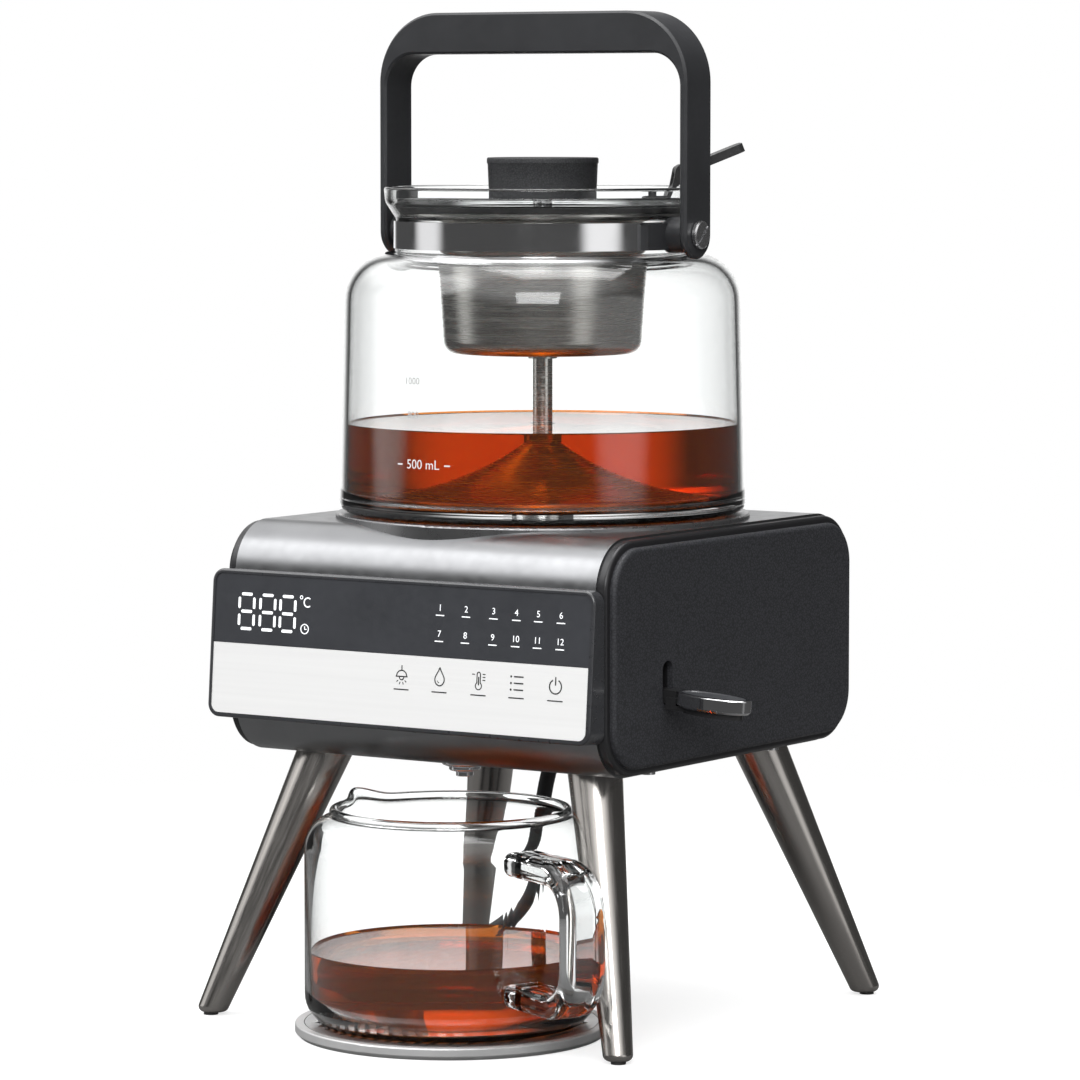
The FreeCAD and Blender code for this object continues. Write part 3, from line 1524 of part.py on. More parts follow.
def build():
    split = panel_split
    parts = {
        "housing_shell": make_housing_shell(),
        "side_rim_left": make_side_rim(-1),
        "side_rim_right": make_side_rim(1),
        "leather_panel_left": make_leather_panel(-1),
        "leather_panel_right": make_leather_panel(1),
        "base_cover": make_base_cover(),
        "base_screws": make_base_screws(),
        "leg_studs": make_leg_studs(),
        "leg_glides": make_leg_glides(),
        "panel_bezel": make_panel_bezel(),
        "display_window": panel_insert(split, panel_height),
        "touch_plate": panel_insert(-panel_height, split - split_gap),
        "display_board": make_display_board(),
        "power_board": make_power_board(),
        "kettle_seat": make_kettle_seat(),
        "heater_plate": make_heater_plate(),
        "temperature_sensor": make_temperature_sensor(),
        "drain_cup": make_drain_cup(),
        "drain_hose": make_drain_hose(),
        "tap_body": make_tap_body(),
        "tap_plunger": make_tap_plunger(),
        "outlet_nozzle": make_outlet_nozzle(),
        "lamp_lens": make_lamp_lens(),
        "lever_arm": make_lever_arm(),
        "lever_bezel": make_lever_bezel(),
        "lever_inlay": make_lever_inlay(),
        "lever_bracket": make_lever_bracket(),
        "lever_pin": make_lever_pin(),
        "kettle_glass": make_kettle_glass(),
        "kettle_mouth": make_kettle_mouth(),
        "neck_band": make_neck_band(),
        "bail_lug_left": make_bail_lug(-1),
        "bail_lug_right": make_bail_lug(1),
        "pivot_screws": make_pivot_screws(),
        "bail_handle": make_bail_handle(),
        "kettle_valve": make_kettle_valve(),
        "valve_nut": make_valve_nut(),
        "valve_poppet": make_valve_poppet(),
        "infuser_basket": make_infuser_basket(),
        "riser_tube": make_riser_tube(),
        "steam_cone": make_steam_cone(),
        "lid_glass": make_lid_glass(),
        "lid_seal": make_lid_seal(),
        "lid_knob": make_lid_knob(),
        "knob_screw": make_knob_screw(),
        "thumb_bracket": make_thumb_bracket(),
        "thumb_lever": make_thumb_lever(),
        "tray_dish": make_tray_dish(),
        "tray_plate": make_tray_plate(),
        "jug_glass": make_jug_glass(),
        "jug_handle": make_jug_handle(),
        "cord_gland": make_cord_gland(),
        "cord_lead": make_cord_lead(),
        "cord_coil": make_cord_coil(),
        "plug_body": make_plug_body(),
        "plug_pins": make_plug_pins(),
    }
    for name, side_x, side_y in corners():
        parts["leg_" + name] = make_leg(side_x, side_y)
    return parts


def outline_origin(parts):
    """Bottom centre of the whole outline, without the mains lead."""
    fixed = [shape for name, shape in parts.items() if name not in lead_nodes]
    bounds = Part.makeCompound(fixed).optimalBoundingBox(False, False)
    return V(round(bounds.Center.x, 2), round(bounds.Center.y, 2), 0)


parts = build()
origin = outline_origin(parts)
print("origin at %.2f, %.2f of the kettle's axis" % (origin.x, origin.y))
os.makedirs("parts", exist_ok=True)
for name, shape in parts.items():
    count = len(shape.Solids)
    if not shape.isValid() or count == 0 or shape.Volume <= 0:
        print("CHECK", name, shape.isValid(), count, shape.Volume)
    moved(shape, origin * -1).exportStep("parts/" + name + ".step")
    print("%-22s solids %d volume %.1f faces %d" % (name, count, shape.Volume, len(shape.Faces)))
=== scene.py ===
import json
import math

import bmesh
import bpy
from mathutils import Matrix, Vector

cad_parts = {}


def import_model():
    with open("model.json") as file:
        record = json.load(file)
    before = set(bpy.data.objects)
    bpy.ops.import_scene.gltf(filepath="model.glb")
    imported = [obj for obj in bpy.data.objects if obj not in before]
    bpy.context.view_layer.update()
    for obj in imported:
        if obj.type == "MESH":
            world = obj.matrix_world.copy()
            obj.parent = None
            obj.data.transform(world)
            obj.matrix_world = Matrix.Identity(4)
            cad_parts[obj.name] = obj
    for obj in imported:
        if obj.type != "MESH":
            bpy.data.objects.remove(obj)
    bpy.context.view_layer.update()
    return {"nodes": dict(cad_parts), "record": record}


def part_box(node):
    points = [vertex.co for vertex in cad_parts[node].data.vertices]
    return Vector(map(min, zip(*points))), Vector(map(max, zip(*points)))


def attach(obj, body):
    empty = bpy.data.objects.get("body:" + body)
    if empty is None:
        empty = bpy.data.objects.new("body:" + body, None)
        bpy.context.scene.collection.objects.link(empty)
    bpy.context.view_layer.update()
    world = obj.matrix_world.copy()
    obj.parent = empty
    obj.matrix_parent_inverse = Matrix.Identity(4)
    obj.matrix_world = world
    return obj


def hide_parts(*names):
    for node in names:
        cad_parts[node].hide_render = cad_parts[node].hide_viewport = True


# Looks of the automatic tea maker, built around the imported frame. Metres, +Z up, front at -Y.

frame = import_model()
nodes = frame["nodes"]

MM = 0.001
TAU = 2 * math.pi


def node_low(name):
    return Vector(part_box(name)[0])


def node_high(name):
    return Vector(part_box(name)[1])


def node_middle(name):
    return (node_low(name) + node_high(name)) / 2


# The kettle's upright axis on the floor, from which the CAD drawing is measured
AXIS = Vector((node_middle("kettle_glass").x, node_middle("kettle_glass").y, 0))


def vec(x, y, z):
    """A point given in millimetres from the kettle's axis and the floor."""
    return AXIS + Vector((x, y, z)) * MM


# Sizes shared with the frame, in metres
KETTLE_FLOOR = node_low("kettle_glass").z
KETTLE_RIM = node_high("kettle_mouth").z
KETTLE_RADIUS = node_high("kettle_glass").x - AXIS.x
KETTLE_WALL = 2.5 * MM
KETTLE_BOTTOM = 4.0 * MM
KETTLE_SHOULDER_RADIUS = 75.7 * MM
KETTLE_SHOULDER = KETTLE_FLOOR + 99.6 * MM
KETTLE_NECK_RADIUS = 56.3 * MM
KETTLE_MOUTH = KETTLE_SHOULDER + 12.4 * MM
KETTLE_MOUTH_RADIUS = 60.8 * MM
KETTLE_TEA = KETTLE_FLOOR + 33.8 * MM
VALVE_HOLE = 8.2 * MM

JUG_CENTRE = Vector((node_middle("tray_dish").x, node_middle("tray_dish").y, 0))
JUG_FLOOR = node_low("jug_glass").z
JUG_RADIUS = 55.1 * MM
JUG_BASE_RADIUS = 49.5 * MM
JUG_RIM_RADIUS = 45.1 * MM
JUG_RIM = JUG_FLOOR + 80 * MM
JUG_WALL = 2.2 * MM
JUG_BOTTOM = 3.0 * MM
JUG_TEA = JUG_FLOOR + 27 * MM

SPOUT_TURN = math.radians(172)
SPOUT_HALF_TURN = 0.16
SPOUT_DEPTH = 16 * MM
SPOUT_REACH = 5 * MM
SPOUT_RISE = 6 * MM

HANDLE_TURN = math.radians(-26)
HANDLE_START = 54.2 * MM
HANDLE_REACH = 96 * MM
HANDLE_LOW = JUG_FLOOR + 17.5 * MM
HANDLE_HIGH = JUG_FLOOR + 66 * MM
HANDLE_BEND = 15 * MM
HANDLE_HALF_WIDTH = 8.5 * MM
HANDLE_HALF_THICKNESS = 4.5 * MM

# Room between a vessel's glass and the tea in it
TEA_GAP = 0.05 * MM

PANEL_TILT = math.radians(4.4)
PANEL_CENTRE = vec(-1.2, -95.8, 144.3)
PANEL_SINK = 0.25 * MM
PRINT_HEIGHT = 0.05 * MM

# The mains lead: where it leaves the strain relief, its points down to the loops, and the loops,
# in millimetres and degrees apart from the diameter, which is in metres
CORD_DIAMETER = 6.2 * MM
CORD_EXIT = (-36.21, 58.84, 82.07)
CORD_LEAD = (
    (-40.48, 58.03, 65.64),
    (-40.0, 63.1, 46.3),
    (-45.6, 64.6, 31.7),
    (-53.9, 63.1, 21.0),
    (-64.0, 58.9, 13.5),
    (-73.7, 53.0, 9.9),
)
COIL_X = -67.7
COIL_Y = 11.3
COIL_HEADING = 33.78
COIL_TURNS = 3.5
COIL_STEPS_PER_TURN = 16
COIL_OUTER_RADIUS = 37.5
COIL_PITCH = 6.7
COIL_LOW = 3.2
COIL_LAYER = 6.7
PLUG_RUN = 12

# How far the legs lean outwards for each metre of height
LEG_SPLAY_X = 31.55 / 101.4
LEG_SPLAY_Y = 32.59 / 101.4

# Camera, solved from the photo: its place in millimetres and the way back from the object to it
CAMERA_PLACE = (1092.51, -1635.31, 345.16)
CAMERA_BACK = (0.5540, -0.8283, 0.0835)
CAMERA_LENS = 170.97

# Floor: its side in metres, its grey in reflections, its grey and glow where seen straight,
# and where it fades out, in metres from its middle
FLOOR_SIDE = 12
FLOOR_DIM = 0.14
FLOOR_LIT = 0.4
FLOOR_GLOW = 0.72
FLOOR_FADE_START = 0.3
FLOOR_FADE_END = 0.7

# Light that comes to the object from all round, and soft boxes in the distance
ROOM_LEVEL = 0.07
SOFT_BOXES = (
    # direction, where the box starts and is full (cosine), strength
    ((-0.55, 0.83, -0.06), 0.90, 0.985, 1.15),
    ((-0.55, 0.15, 0.82), 0.72, 0.93, 1.5),
    ((-0.55, -0.53, 0.64), 0.90, 0.965, 3.0),
    ((0.98, -0.17, 0.12), 0.93, 0.98, 0.9),
    ((-0.90, -0.40, 0.15), 0.93, 0.98, 0.8),
    ((0.25, -0.50, 0.83), 0.60, 0.95, 1.6),
)


# Mesh helpers

def shown(name, data):
    """A new object in the scene."""
    obj = bpy.data.objects.new(name, data)
    bpy.context.scene.collection.objects.link(obj)
    return obj


def mesh_object(name, verts, faces, material, smooth_angle=30):
    mesh = bpy.data.meshes.new(name)
    mesh.from_pydata([tuple(v) for v in verts], [], faces)
    mesh.validate()
    tidy = bmesh.new()
    tidy.from_mesh(mesh)
    bmesh.ops.recalc_face_normals(tidy, faces=tidy.faces)
    tidy.to_mesh(mesh)
    tidy.free()
    mesh.shade_smooth()
    mesh.set_sharp_from_angle(angle=math.radians(smooth_angle))
    mesh.materials.append(material)
    return shown(name, mesh)


def rounded(corners, closed=True, step=math.radians(9)):
    """2D points of an outline with corners (x, y, radius), each round corner as an arc."""
    points = []
    count = len(corners)
    for i, (x, y, radius) in enumerate(corners):
        here = Vector((x, y))
        if radius <= 0 or (not closed and i in (0, count - 1)):
            points.append(here)
            continue
        before = (Vector(corners[i - 1][:2]) - here).normalized()
        after = (Vector(corners[(i + 1) % count][:2]) - here).normalized()
        half = before.angle(after) / 2
        centre = here + (before + after).normalized() * (radius / math.sin(half))
        start = here + before * (radius / math.tan(half)) - centre
        end = here + after * (radius / math.tan(half)) - centre
        sweep = start.angle_signed(end)
        pieces = max(2, int(math.ceil(abs(sweep) / step)))
        for k in range(pieces + 1):
            turn = Matrix.Rotation(-sweep * k / pieces, 2)
            points.append(centre + turn @ start)
    return points


def lathe(name, profile, material, centre=AXIS, segments=128, smooth_angle=30):
    """Turns a closed outline of (radius, height) points about the upright axis through centre."""
    verts = []
    rings = []
    for radius, height in profile:
        if radius < 1e-7:
            rings.append([len(verts)])
            verts.append(centre + Vector((0, 0, height)))
            continue
        rings.append(list(range(len(verts), len(verts) + segments)))
        for k in range(segments):
            angle = TAU * k / segments
            verts.append(centre + Vector((radius * math.cos(angle), radius * math.sin(angle), height)))
    faces = []
    for i, ring in enumerate(rings):
        other = rings[(i + 1) % len(rings)]
        if len(ring) == 1 and len(other) == 1:
            continue
        for k in range(segments):
            n = (k + 1) % segments
            if len(ring) == 1:
                faces.append((ring[0], other[n], other[k]))
            elif len(other) == 1:
                faces.append((ring[k], ring[n], other[0]))
            else:
                faces.append((ring[k], ring[n], other[n], other[k]))
    return mesh_object(name, verts, faces, material, smooth_angle)


def ribbon(points, width, closed=False):
    """Flat quads of even width along a 2D line, as (verts, faces)."""
    points = [Vector(p) for p in points]
    count = len(points)
    verts = []
    for i, point in enumerate(points):
        before = points[i - 1] if (closed or i > 0) else points[i] * 2 - points[i + 1]
        after = points[(i + 1) % count] if (closed or i < count - 1) else points[i] * 2 - points[i - 1]
        one = (point - before).normalized()
        two = (after - point).normalized()
        way = (one + two).normalized()
        side = Vector((-way.y, way.x)) * (width / 2 / max(0.4, way.dot(one)))
        verts += [point + side, point - side]
    faces = []
    for i in range(count if closed else count - 1):
        a, b = 2 * i, 2 * ((i + 1) % count)
        faces.append((a, a + 1, b + 1, b))
    return verts, faces


def disc(centre, radius, steps):
    """A filled circle as one face."""
    verts = []
    for k in range(steps):
        angle = TAU * k / steps
        verts.append(Vector(centre) + Vector((math.cos(angle), math.sin(angle))) * radius)
    return verts, [tuple(range(steps))]


def arc(centre, radius, start, end, steps=20):
    """Points on a circle from start to end, in degrees."""
    points = []
    for k in range(steps + 1):
        angle = math.radians(start + (end - start) * k / steps)
        points.append(Vector(centre) + Vector((math.cos(angle), math.sin(angle))) * radius)
    return points


def bar(x0, y0, x1, y1, width):
    """A straight bar with round ends."""
    one, two = Vector((x0, y0)), Vector((x1, y1))
    way = (two - one).normalized()
    side = math.degrees(math.atan2(way.y, way.x))
    verts = arc(two - way * width / 2, width / 2, side - 90, side + 90, 8)
    verts += arc(one + way * width / 2, width / 2, side + 90, side + 270, 8)
    return verts, [tuple(range(len(verts)))]


def merged(shapes):
    """Several (verts, faces) as one."""
    verts = []
    faces = []
    for more, quads in shapes:
        offset = len(verts)
        verts += more
        faces += [tuple(i + offset for i in face) for face in quads]
    return verts, faces


def printed(name, shapes, place, material):
    """A thin raised print: 2D shapes in millimetres put on a surface by place(x, y, lift)."""
    verts, faces = merged(shapes)
    flat = bmesh.new()
    made = [flat.verts.new((v.x, v.y, 0)) for v in verts]
    for face in faces:
        flat.faces.new([made[i] for i in face])
    bmesh.ops.recalc_face_normals(flat, faces=flat.faces)
    grown = bmesh.ops.extrude_face_region(flat, geom=flat.faces[:])
    for item in grown["geom"]:
        if isinstance(item, bmesh.types.BMVert):
            item.co.z = 1
    for v in flat.verts:
        v.co = place(v.co.x, v.co.y, PRINT_HEIGHT * v.co.z)
    bmesh.ops.recalc_face_normals(flat, faces=flat.faces)
    mesh = bpy.data.meshes.new(name)
    flat.to_mesh(mesh)
    flat.free()
    mesh.materials.append(material)
    return shown(name, mesh)


def lettering(text, size, middle=(0, 0)):
    """Outline of plain figures as filled 2D shapes in millimetres."""
    curve = bpy.data.curves.new("figures", "FONT")
    curve.body = text
    curve.size = size
    curve.align_x = "CENTER"
    curve.align_y = "CENTER"
    curve.resolution_u = 4
    holder = bpy.data.objects.new("figures", curve)
    mesh = bpy.data.meshes.new_from_object(holder)
    verts = [Vector((v.co.x + middle[0], v.co.y + middle[1])) for v in mesh.vertices]
    faces = [tuple(p.vertices) for p in mesh.polygons]
    bpy.data.objects.remove(holder)
    bpy.data.curves.remove(curve)
    bpy.data.meshes.remove(mesh)
    return verts, faces


# Materials

def new_node(tree, kind, **values):
    """A shader node with settings and sockets given by name, with _ for a blank."""
    made = tree.nodes.new("ShaderNode" + kind)
    for key, value in values.items():
        if hasattr(made, key) and key not in made.inputs:
            setattr(made, key, value)
        else:
            made.inputs[key.replace("_", " ")].default_value = value
    return made


class Surface:
    """A node material that is built up in small steps round one Principled shader."""

    def __init__(self, name, colour, roughness, metallic=0.0, **sockets):
        self.material = bpy.data.materials.new(name)
        self.material.use_nodes = True
        self.tree = self.material.node_tree
        self.shader = next(n for n in self.tree.nodes if n.type == "BSDF_PRINCIPLED")
        self.set("Base Color", (*colour, 1.0))
        self.set("Roughness", roughness)
        self.set("Metallic", metallic)
        for socket, value in sockets.items():
            self.set(socket.replace("_", " "), value)
        self.colour = colour
        self.normal = None
        self.material.diffuse_color = (*colour, 1.0)

    def set(self, socket, value):
        self.shader.inputs[socket].default_value = value

    def link(self, out, into):
        self.tree.links.new(out, into)
        return self

    def add(self, kind, **values):
        return new_node(self.tree, kind, **values)

    def place(self, stretch=(1, 1, 1), turn=(0, 0, 0), shift=(0, 0, 0)):
        """Object coordinates in metres, stretched, turned and shifted."""
        coords = self.add("TexCoord")
        mapping = self.add("Mapping")
        mapping.inputs["Scale"].default_value = stretch
        mapping.inputs["Rotation"].default_value = turn
        mapping.inputs["Location"].default_value = shift
        self.link(coords.outputs["Object"], mapping.inputs["Vector"])
        return mapping.outputs["Vector"]

    def along_legs(self, stretch):
        """Coordinates that stay level along each splayed leg, drawn out by stretch."""
        coords = self.add("TexCoord")
        parts = self.add("SeparateXYZ")
        self.link(coords.outputs["Object"], parts.inputs[0])
        joint = self.add("CombineXYZ")
        for socket, middle, splay in (("X", AXIS.x, LEG_SPLAY_X), ("Y", AXIS.y, LEG_SPLAY_Y)):
            off_axis = self.maths("ABSOLUTE", self.maths("SUBTRACT", parts.outputs[socket], middle), 0)
            leaned = self.maths("MULTIPLY", parts.outputs["Z"], splay)
            self.link(self.maths("ADD", off_axis, leaned), joint.inputs[socket])
        self.link(self.maths("MULTIPLY", parts.outputs["Z"], stretch), joint.inputs["Z"])
        return joint.outputs["Vector"]

    def noise(self, scale, detail=4.0, roughness=0.5, distortion=0.0, **place):
        made = self.add("TexNoise", Scale=scale, Detail=detail, Roughness=roughness, Distortion=distortion)
        self.link(self.place(**place), made.inputs["Vector"])
        return made.outputs["Fac"]

    def cells(self, scale, feature="DISTANCE_TO_EDGE", randomness=1.0, **place):
        made = self.add("TexVoronoi", feature=feature)
        made.inputs["Scale"].default_value = scale
        made.inputs["Randomness"].default_value = randomness
        self.link(self.place(**place), made.inputs["Vector"])
        return made.outputs["Distance"]

    def range(self, value, low, high, to_low=0.0, to_high=1.0, smooth=False):
        made = self.add("MapRange")
        made.interpolation_type = "SMOOTHSTEP" if smooth else "LINEAR"
        for socket, number in zip(("From Min", "From Max", "To Min", "To Max"), (low, high, to_low, to_high)):
            made.inputs[socket].default_value = number
        self.link(value, made.inputs["Value"])
        return made.outputs["Result"]

    def maths(self, operation, one, two):
        made = self.add("Math", operation=operation)
        for socket, value in zip(made.inputs, (one, two)):
            if hasattr(value, "is_linked"):
                self.link(value, socket)
            else:
                socket.default_value = value
        return made.outputs[0]

    def bump(self, height, distance, strength=1.0):
        made = self.add("Bump")
        made.inputs["Strength"].default_value = strength
        made.inputs["Distance"].default_value = distance
        self.link(height, made.inputs["Height"])
        if self.normal is not None:
            self.link(self.normal, made.inputs["Normal"])
        self.normal = made.outputs["Normal"]
        self.link(self.normal, self.shader.inputs["Normal"])
        return self

    def rough(self, factor, low, high):
        self.link(self.range(factor, 0.3, 0.7, low, high), self.shader.inputs["Roughness"])
        return self

    def tint(self, factor, dark, light):
        """Colour that runs from dark to light with factor."""
        ramp = self.add("ValToRGB")
        ramp.color_ramp.elements[0].position = 0.3
        ramp.color_ramp.elements[1].position = 0.7
        ramp.color_ramp.elements[0].color = (*dark, 1)
        ramp.color_ramp.elements[1].color = (*light, 1)
        self.link(factor, ramp.inputs["Fac"])
        self.link(ramp.outputs["Color"], self.shader.inputs["Base Color"])
        return self


def scaled(colour, factor):
    return tuple(min(1.0, c * factor) for c in colour)


def satin_metal(name, colour, roughness, metallic=0.8):
    made = Surface(name, colour, roughness, metallic)
    made.tint(made.noise(38, 3), scaled(colour, 0.93), scaled(colour, 1.07))
    made.rough(made.noise(210, 5), roughness - 0.03, roughness + 0.04)
    made.bump(made.noise(2600, 2), 0.00002, 0.25)
    return made.material


def brushed_metal(name, colour, roughness, stretch, lines=900.0, metallic=1.0, uneven=0.07, depth=0.00003):
    """Metal with fine brush lines; stretch is small along the lines."""
    made = Surface(name, colour, roughness, metallic)
    streaks = made.noise(lines, 3, 0.6, stretch=stretch)
    wide = made.noise(lines / 4, 2, 0.5, stretch=stretch)
    made.tint(wide, scaled(colour, 1 - uneven), scaled(colour, 1 + uneven / 2))
    made.rough(streaks, roughness - 0.06, roughness + 0.09)
    made.bump(streaks, depth, 0.35)
    return made.material


def leg_metal(name, colour, roughness):
    """Brushed steel whose lines run down each leg."""
    made = Surface(name, colour, roughness, 1.0)
    where = made.along_legs(0.015)
    layers = []
    for scale, detail in ((1500, 3), (260, 2)):
        lines = made.add("TexNoise", Scale=scale, Detail=detail, Roughness=0.55)
        made.link(where, lines.inputs["Vector"])
        layers.append(lines.outputs["Fac"])
    fine, wide = layers
    made.tint(wide, scaled(colour, 0.93), scaled(colour, 1.04))
    made.rough(fine, roughness - 0.05, roughness + 0.07)
    made.bump(fine, 0.000012, 0.2)
    return made.material


def chrome(name, colour=(0.86, 0.86, 0.87), roughness=0.06):
    made = Surface(name, colour, roughness, 1.0)
    made.rough(made.noise(120, 4), roughness - 0.03, roughness + 0.05)
    made.bump(made.noise(240, 2), 0.00001, 0.1)
    return made.material


def moulded_plastic(name, colour, roughness, grain=1500.0, depth=0.00004, coat=0.0):
    made = Surface(name, colour, roughness, Coat_Weight=coat, Coat_Roughness=0.12)
    made.tint(made.noise(45, 3), scaled(colour, 0.88), scaled(colour, 1.12))
    made.rough(made.noise(400, 4), roughness - 0.05, roughness + 0.06)
    made.bump(made.noise(grain, 3), depth, 0.35)
    return made.material


def grained_leather(name, colour=(0.041, 0.042, 0.047), scale=800.0):
    """Black leather: pebbles of uneven size with soft creases and slight sheen on their tops; its colour has
    painted shade in the creases and a painted highlight on the pebble tops, and its tone wanders at random.
    """
    made = Surface(name, colour, 0.5, Specular_IOR_Level=0.3)
    wander = made.noise(60, 3)
    edge = made.cells(scale)
    fine = made.cells(scale * 2.1, shift=(0.013, 0.007, 0.003))
    pebble = made.range(edge, 0.0, 0.22, smooth=True)
    small = made.range(fine, 0.0, 0.2, smooth=True)
    grain = made.maths("ADD", made.maths("MULTIPLY", pebble, 0.7), made.maths("MULTIPLY", small, 0.3))
    # Painted light: the colour is darker in the creases between pebbles (painted shade) and lighter on their
    # tops (painted highlight), scaled by a random wander in tone.
    painted_light_and_tone = made.maths("MULTIPLY", grain, made.range(wander, 0.3, 0.7, 0.8, 1.0))
    made.tint(painted_light_and_tone, scaled(colour, 0.7), scaled(colour, 1.2))
    made.rough(grain, 0.6, 0.46)
    made.bump(grain, 0.00008, 0.4)
    made.bump(wander, 0.0004, 0.2)
    return made.material


def clear_glass(name, tint=(0.985, 0.995, 0.993)):
    made = Surface(name, tint, 0.0, Transmission_Weight=1.0, IOR=1.46)
    made.bump(made.noise(22, 2), 0.0004, 0.04)
    return made.material


def tea_liquid(name, colour, density):
    """Slightly cloudy tea, whose depth takes up light."""
    made = Surface(name, (1.0, 0.34, 0.04), 0.0, Transmission_Weight=0.91, IOR=1.33, Specular_IOR_Level=0.15)
    made.bump(made.noise(70, 3), 0.0002, 0.08)
    soak = made.add("VolumeAbsorption")
    soak.inputs["Color"].default_value = (*colour, 1)
    soak.inputs["Density"].default_value = density
    output = next(n for n in made.tree.nodes if n.type == "OUTPUT_MATERIAL")
    made.link(soak.outputs["Volume"], output.inputs["Volume"])
    return made.material


def rubber(name, colour, roughness=0.6):
    made = Surface(name, colour, roughness, Specular_IOR_Level=0.35)
    made.tint(made.noise(90, 3), scaled(colour, 0.85), scaled(colour, 1.2))
    made.rough(made.noise(500, 3), roughness - 0.06, roughness + 0.06)
    made.bump(made.noise(1800, 3), 0.00004, 0.3)
    return made.material


def glowing_print(name, colour, strength):
    made = Surface(name, colour, 0.4, Emission_Color=(*colour, 1), Emission_Strength=strength)
    made.rough(made.noise(900, 2), 0.35, 0.45)
    return made.material


materials = {
    "shell_metal": satin_metal("shell_metal", (0.262, 0.265, 0.272), 0.32, 1.0),
    "rim_metal": satin_metal("rim_metal", (0.026, 0.026, 0.028), 0.34, 0.3),
    "leather": grained_leather("leather"),
    "cover_plastic": moulded_plastic("cover_plastic", (0.035, 0.035, 0.036), 0.55),
    "bright_steel": brushed_metal("bright_steel", (0.66, 0.66, 0.67), 0.25, (1, 1, 1)),
    "leg_steel": leg_metal("leg_steel", (0.50, 0.475, 0.45), 0.2),
    "glide_rubber": rubber("glide_rubber", (0.05, 0.05, 0.05)),
    "bezel_plastic": moulded_plastic("bezel_plastic", (0.035, 0.036, 0.04), 0.3, coat=0.6),
    "display_glass": moulded_plastic("display_glass", (0.036, 0.038, 0.044), 0.4, depth=0.00001, coat=0.1),
    "touch_steel": brushed_metal(
        "touch_steel", (0.93, 0.93, 0.925), 0.34, (0.012, 1, 1), lines=2600,
        metallic=0.12, uneven=0.02, depth=0.00001,
    ),
    "board_resin": moulded_plastic("board_resin", (0.03, 0.13, 0.06), 0.5),
    "seat_plastic": satin_metal("seat_plastic", (0.26, 0.26, 0.265), 0.28, 0.9),
    "heater_aluminium": brushed_metal("heater_aluminium", (0.70, 0.70, 0.71), 0.33, (1, 1, 1), lines=500),
    "fitting_steel": brushed_metal(
        "fitting_steel", (0.64, 0.63, 0.62), 0.25, (0.05, 0.05, 1), lines=1500, depth=0.00001,
    ),
    "nozzle_chrome": chrome("nozzle_chrome"),
    "band_chrome": chrome("band_chrome", roughness=0.09),
    "hose_silicone": rubber("hose_silicone", (0.70, 0.69, 0.65)),
    "seal_silicone": rubber("seal_silicone", (0.06, 0.06, 0.06), 0.5),
    "tap_plastic": moulded_plastic("tap_plastic", (0.75, 0.75, 0.73), 0.45),
    "lamp_plastic": moulded_plastic("lamp_plastic", (0.80, 0.80, 0.77), 0.35),
    "lever_plastic": moulded_plastic("lever_plastic", (0.02, 0.02, 0.021), 0.35),
    "lever_chrome": chrome("lever_chrome", roughness=0.07),
    "inlay_plastic": moulded_plastic("inlay_plastic", (0.045, 0.047, 0.052), 0.5),
    "kettle_clear": clear_glass("kettle_clear"),
    "lid_clear": clear_glass("lid_clear"),
    "jug_clear": clear_glass("jug_clear"),
    "handle_clear": clear_glass("handle_clear"),
    "bail_plastic": moulded_plastic("bail_plastic", (0.034, 0.035, 0.038), 0.4, grain=2600, depth=0.00003),
    "knob_plastic": grained_leather("knob_plastic", (0.045, 0.046, 0.049), 1100),
    "infuser_steel": brushed_metal(
        "infuser_steel", (0.72, 0.70, 0.67), 0.24, (0.02, 0.02, 1), lines=1500, depth=0.00001,
    ),
    "thumb_plastic": moulded_plastic("thumb_plastic", (0.03, 0.03, 0.031), 0.38),
    "tray_plastic": satin_metal("tray_plastic", (0.62, 0.62, 0.62), 0.35, 0.5),
    "tray_steel": brushed_metal("tray_steel", (0.66, 0.66, 0.66), 0.32, (1, 0.05, 1)),
    "cord_rubber": rubber("cord_rubber", (0.016, 0.016, 0.017), 0.5),
    "pin_brass": chrome("pin_brass", (0.80, 0.78, 0.70), 0.2),
}

slot_of = {row["node"]: row["material_slot"] for row in frame["record"]["subparts"]}
for name, obj in nodes.items():
    obj.data.materials.clear()
    obj.data.materials.append(materials[slot_of[name]])


# Camera

def camera():
    data = bpy.data.cameras.new("camera")
    data.lens = CAMERA_LENS
    data.sensor_width = 36
    data.clip_end = 20
    obj = shown("camera", data)
    back = Vector(CAMERA_BACK).normalized()
    right = Vector((0, 0, 1)).cross(back).normalized()
    up = back.cross(right)
    turn = Matrix((right, up, back)).transposed().to_4x4()
    obj.matrix_world = Matrix.Translation(vec(*CAMERA_PLACE)) @ turn
    bpy.context.scene.camera = obj


camera()


# Mains lead

def coil_points():
    """Points of the loops: inwards in the upper layer, down to the floor half way, and outwards again."""
    points = []
    half = COIL_TURNS / 2
    for k in range(int(COIL_TURNS * COIL_STEPS_PER_TURN) + 1):
        turn = k / COIL_STEPS_PER_TURN
        radius = COIL_OUTER_RADIUS - COIL_PITCH * half + COIL_PITCH * abs(turn - half)
        climb = min(max((turn - half) / 0.5 + 0.5, 0), 1)
        z = COIL_LOW + COIL_LAYER * (1 + math.cos(math.pi * climb)) / 2
        angle = math.radians(COIL_HEADING + 90 + 360 * turn)
        points.append(vec(COIL_X + radius * math.cos(angle), COIL_Y + radius * math.sin(angle), z))
    return points


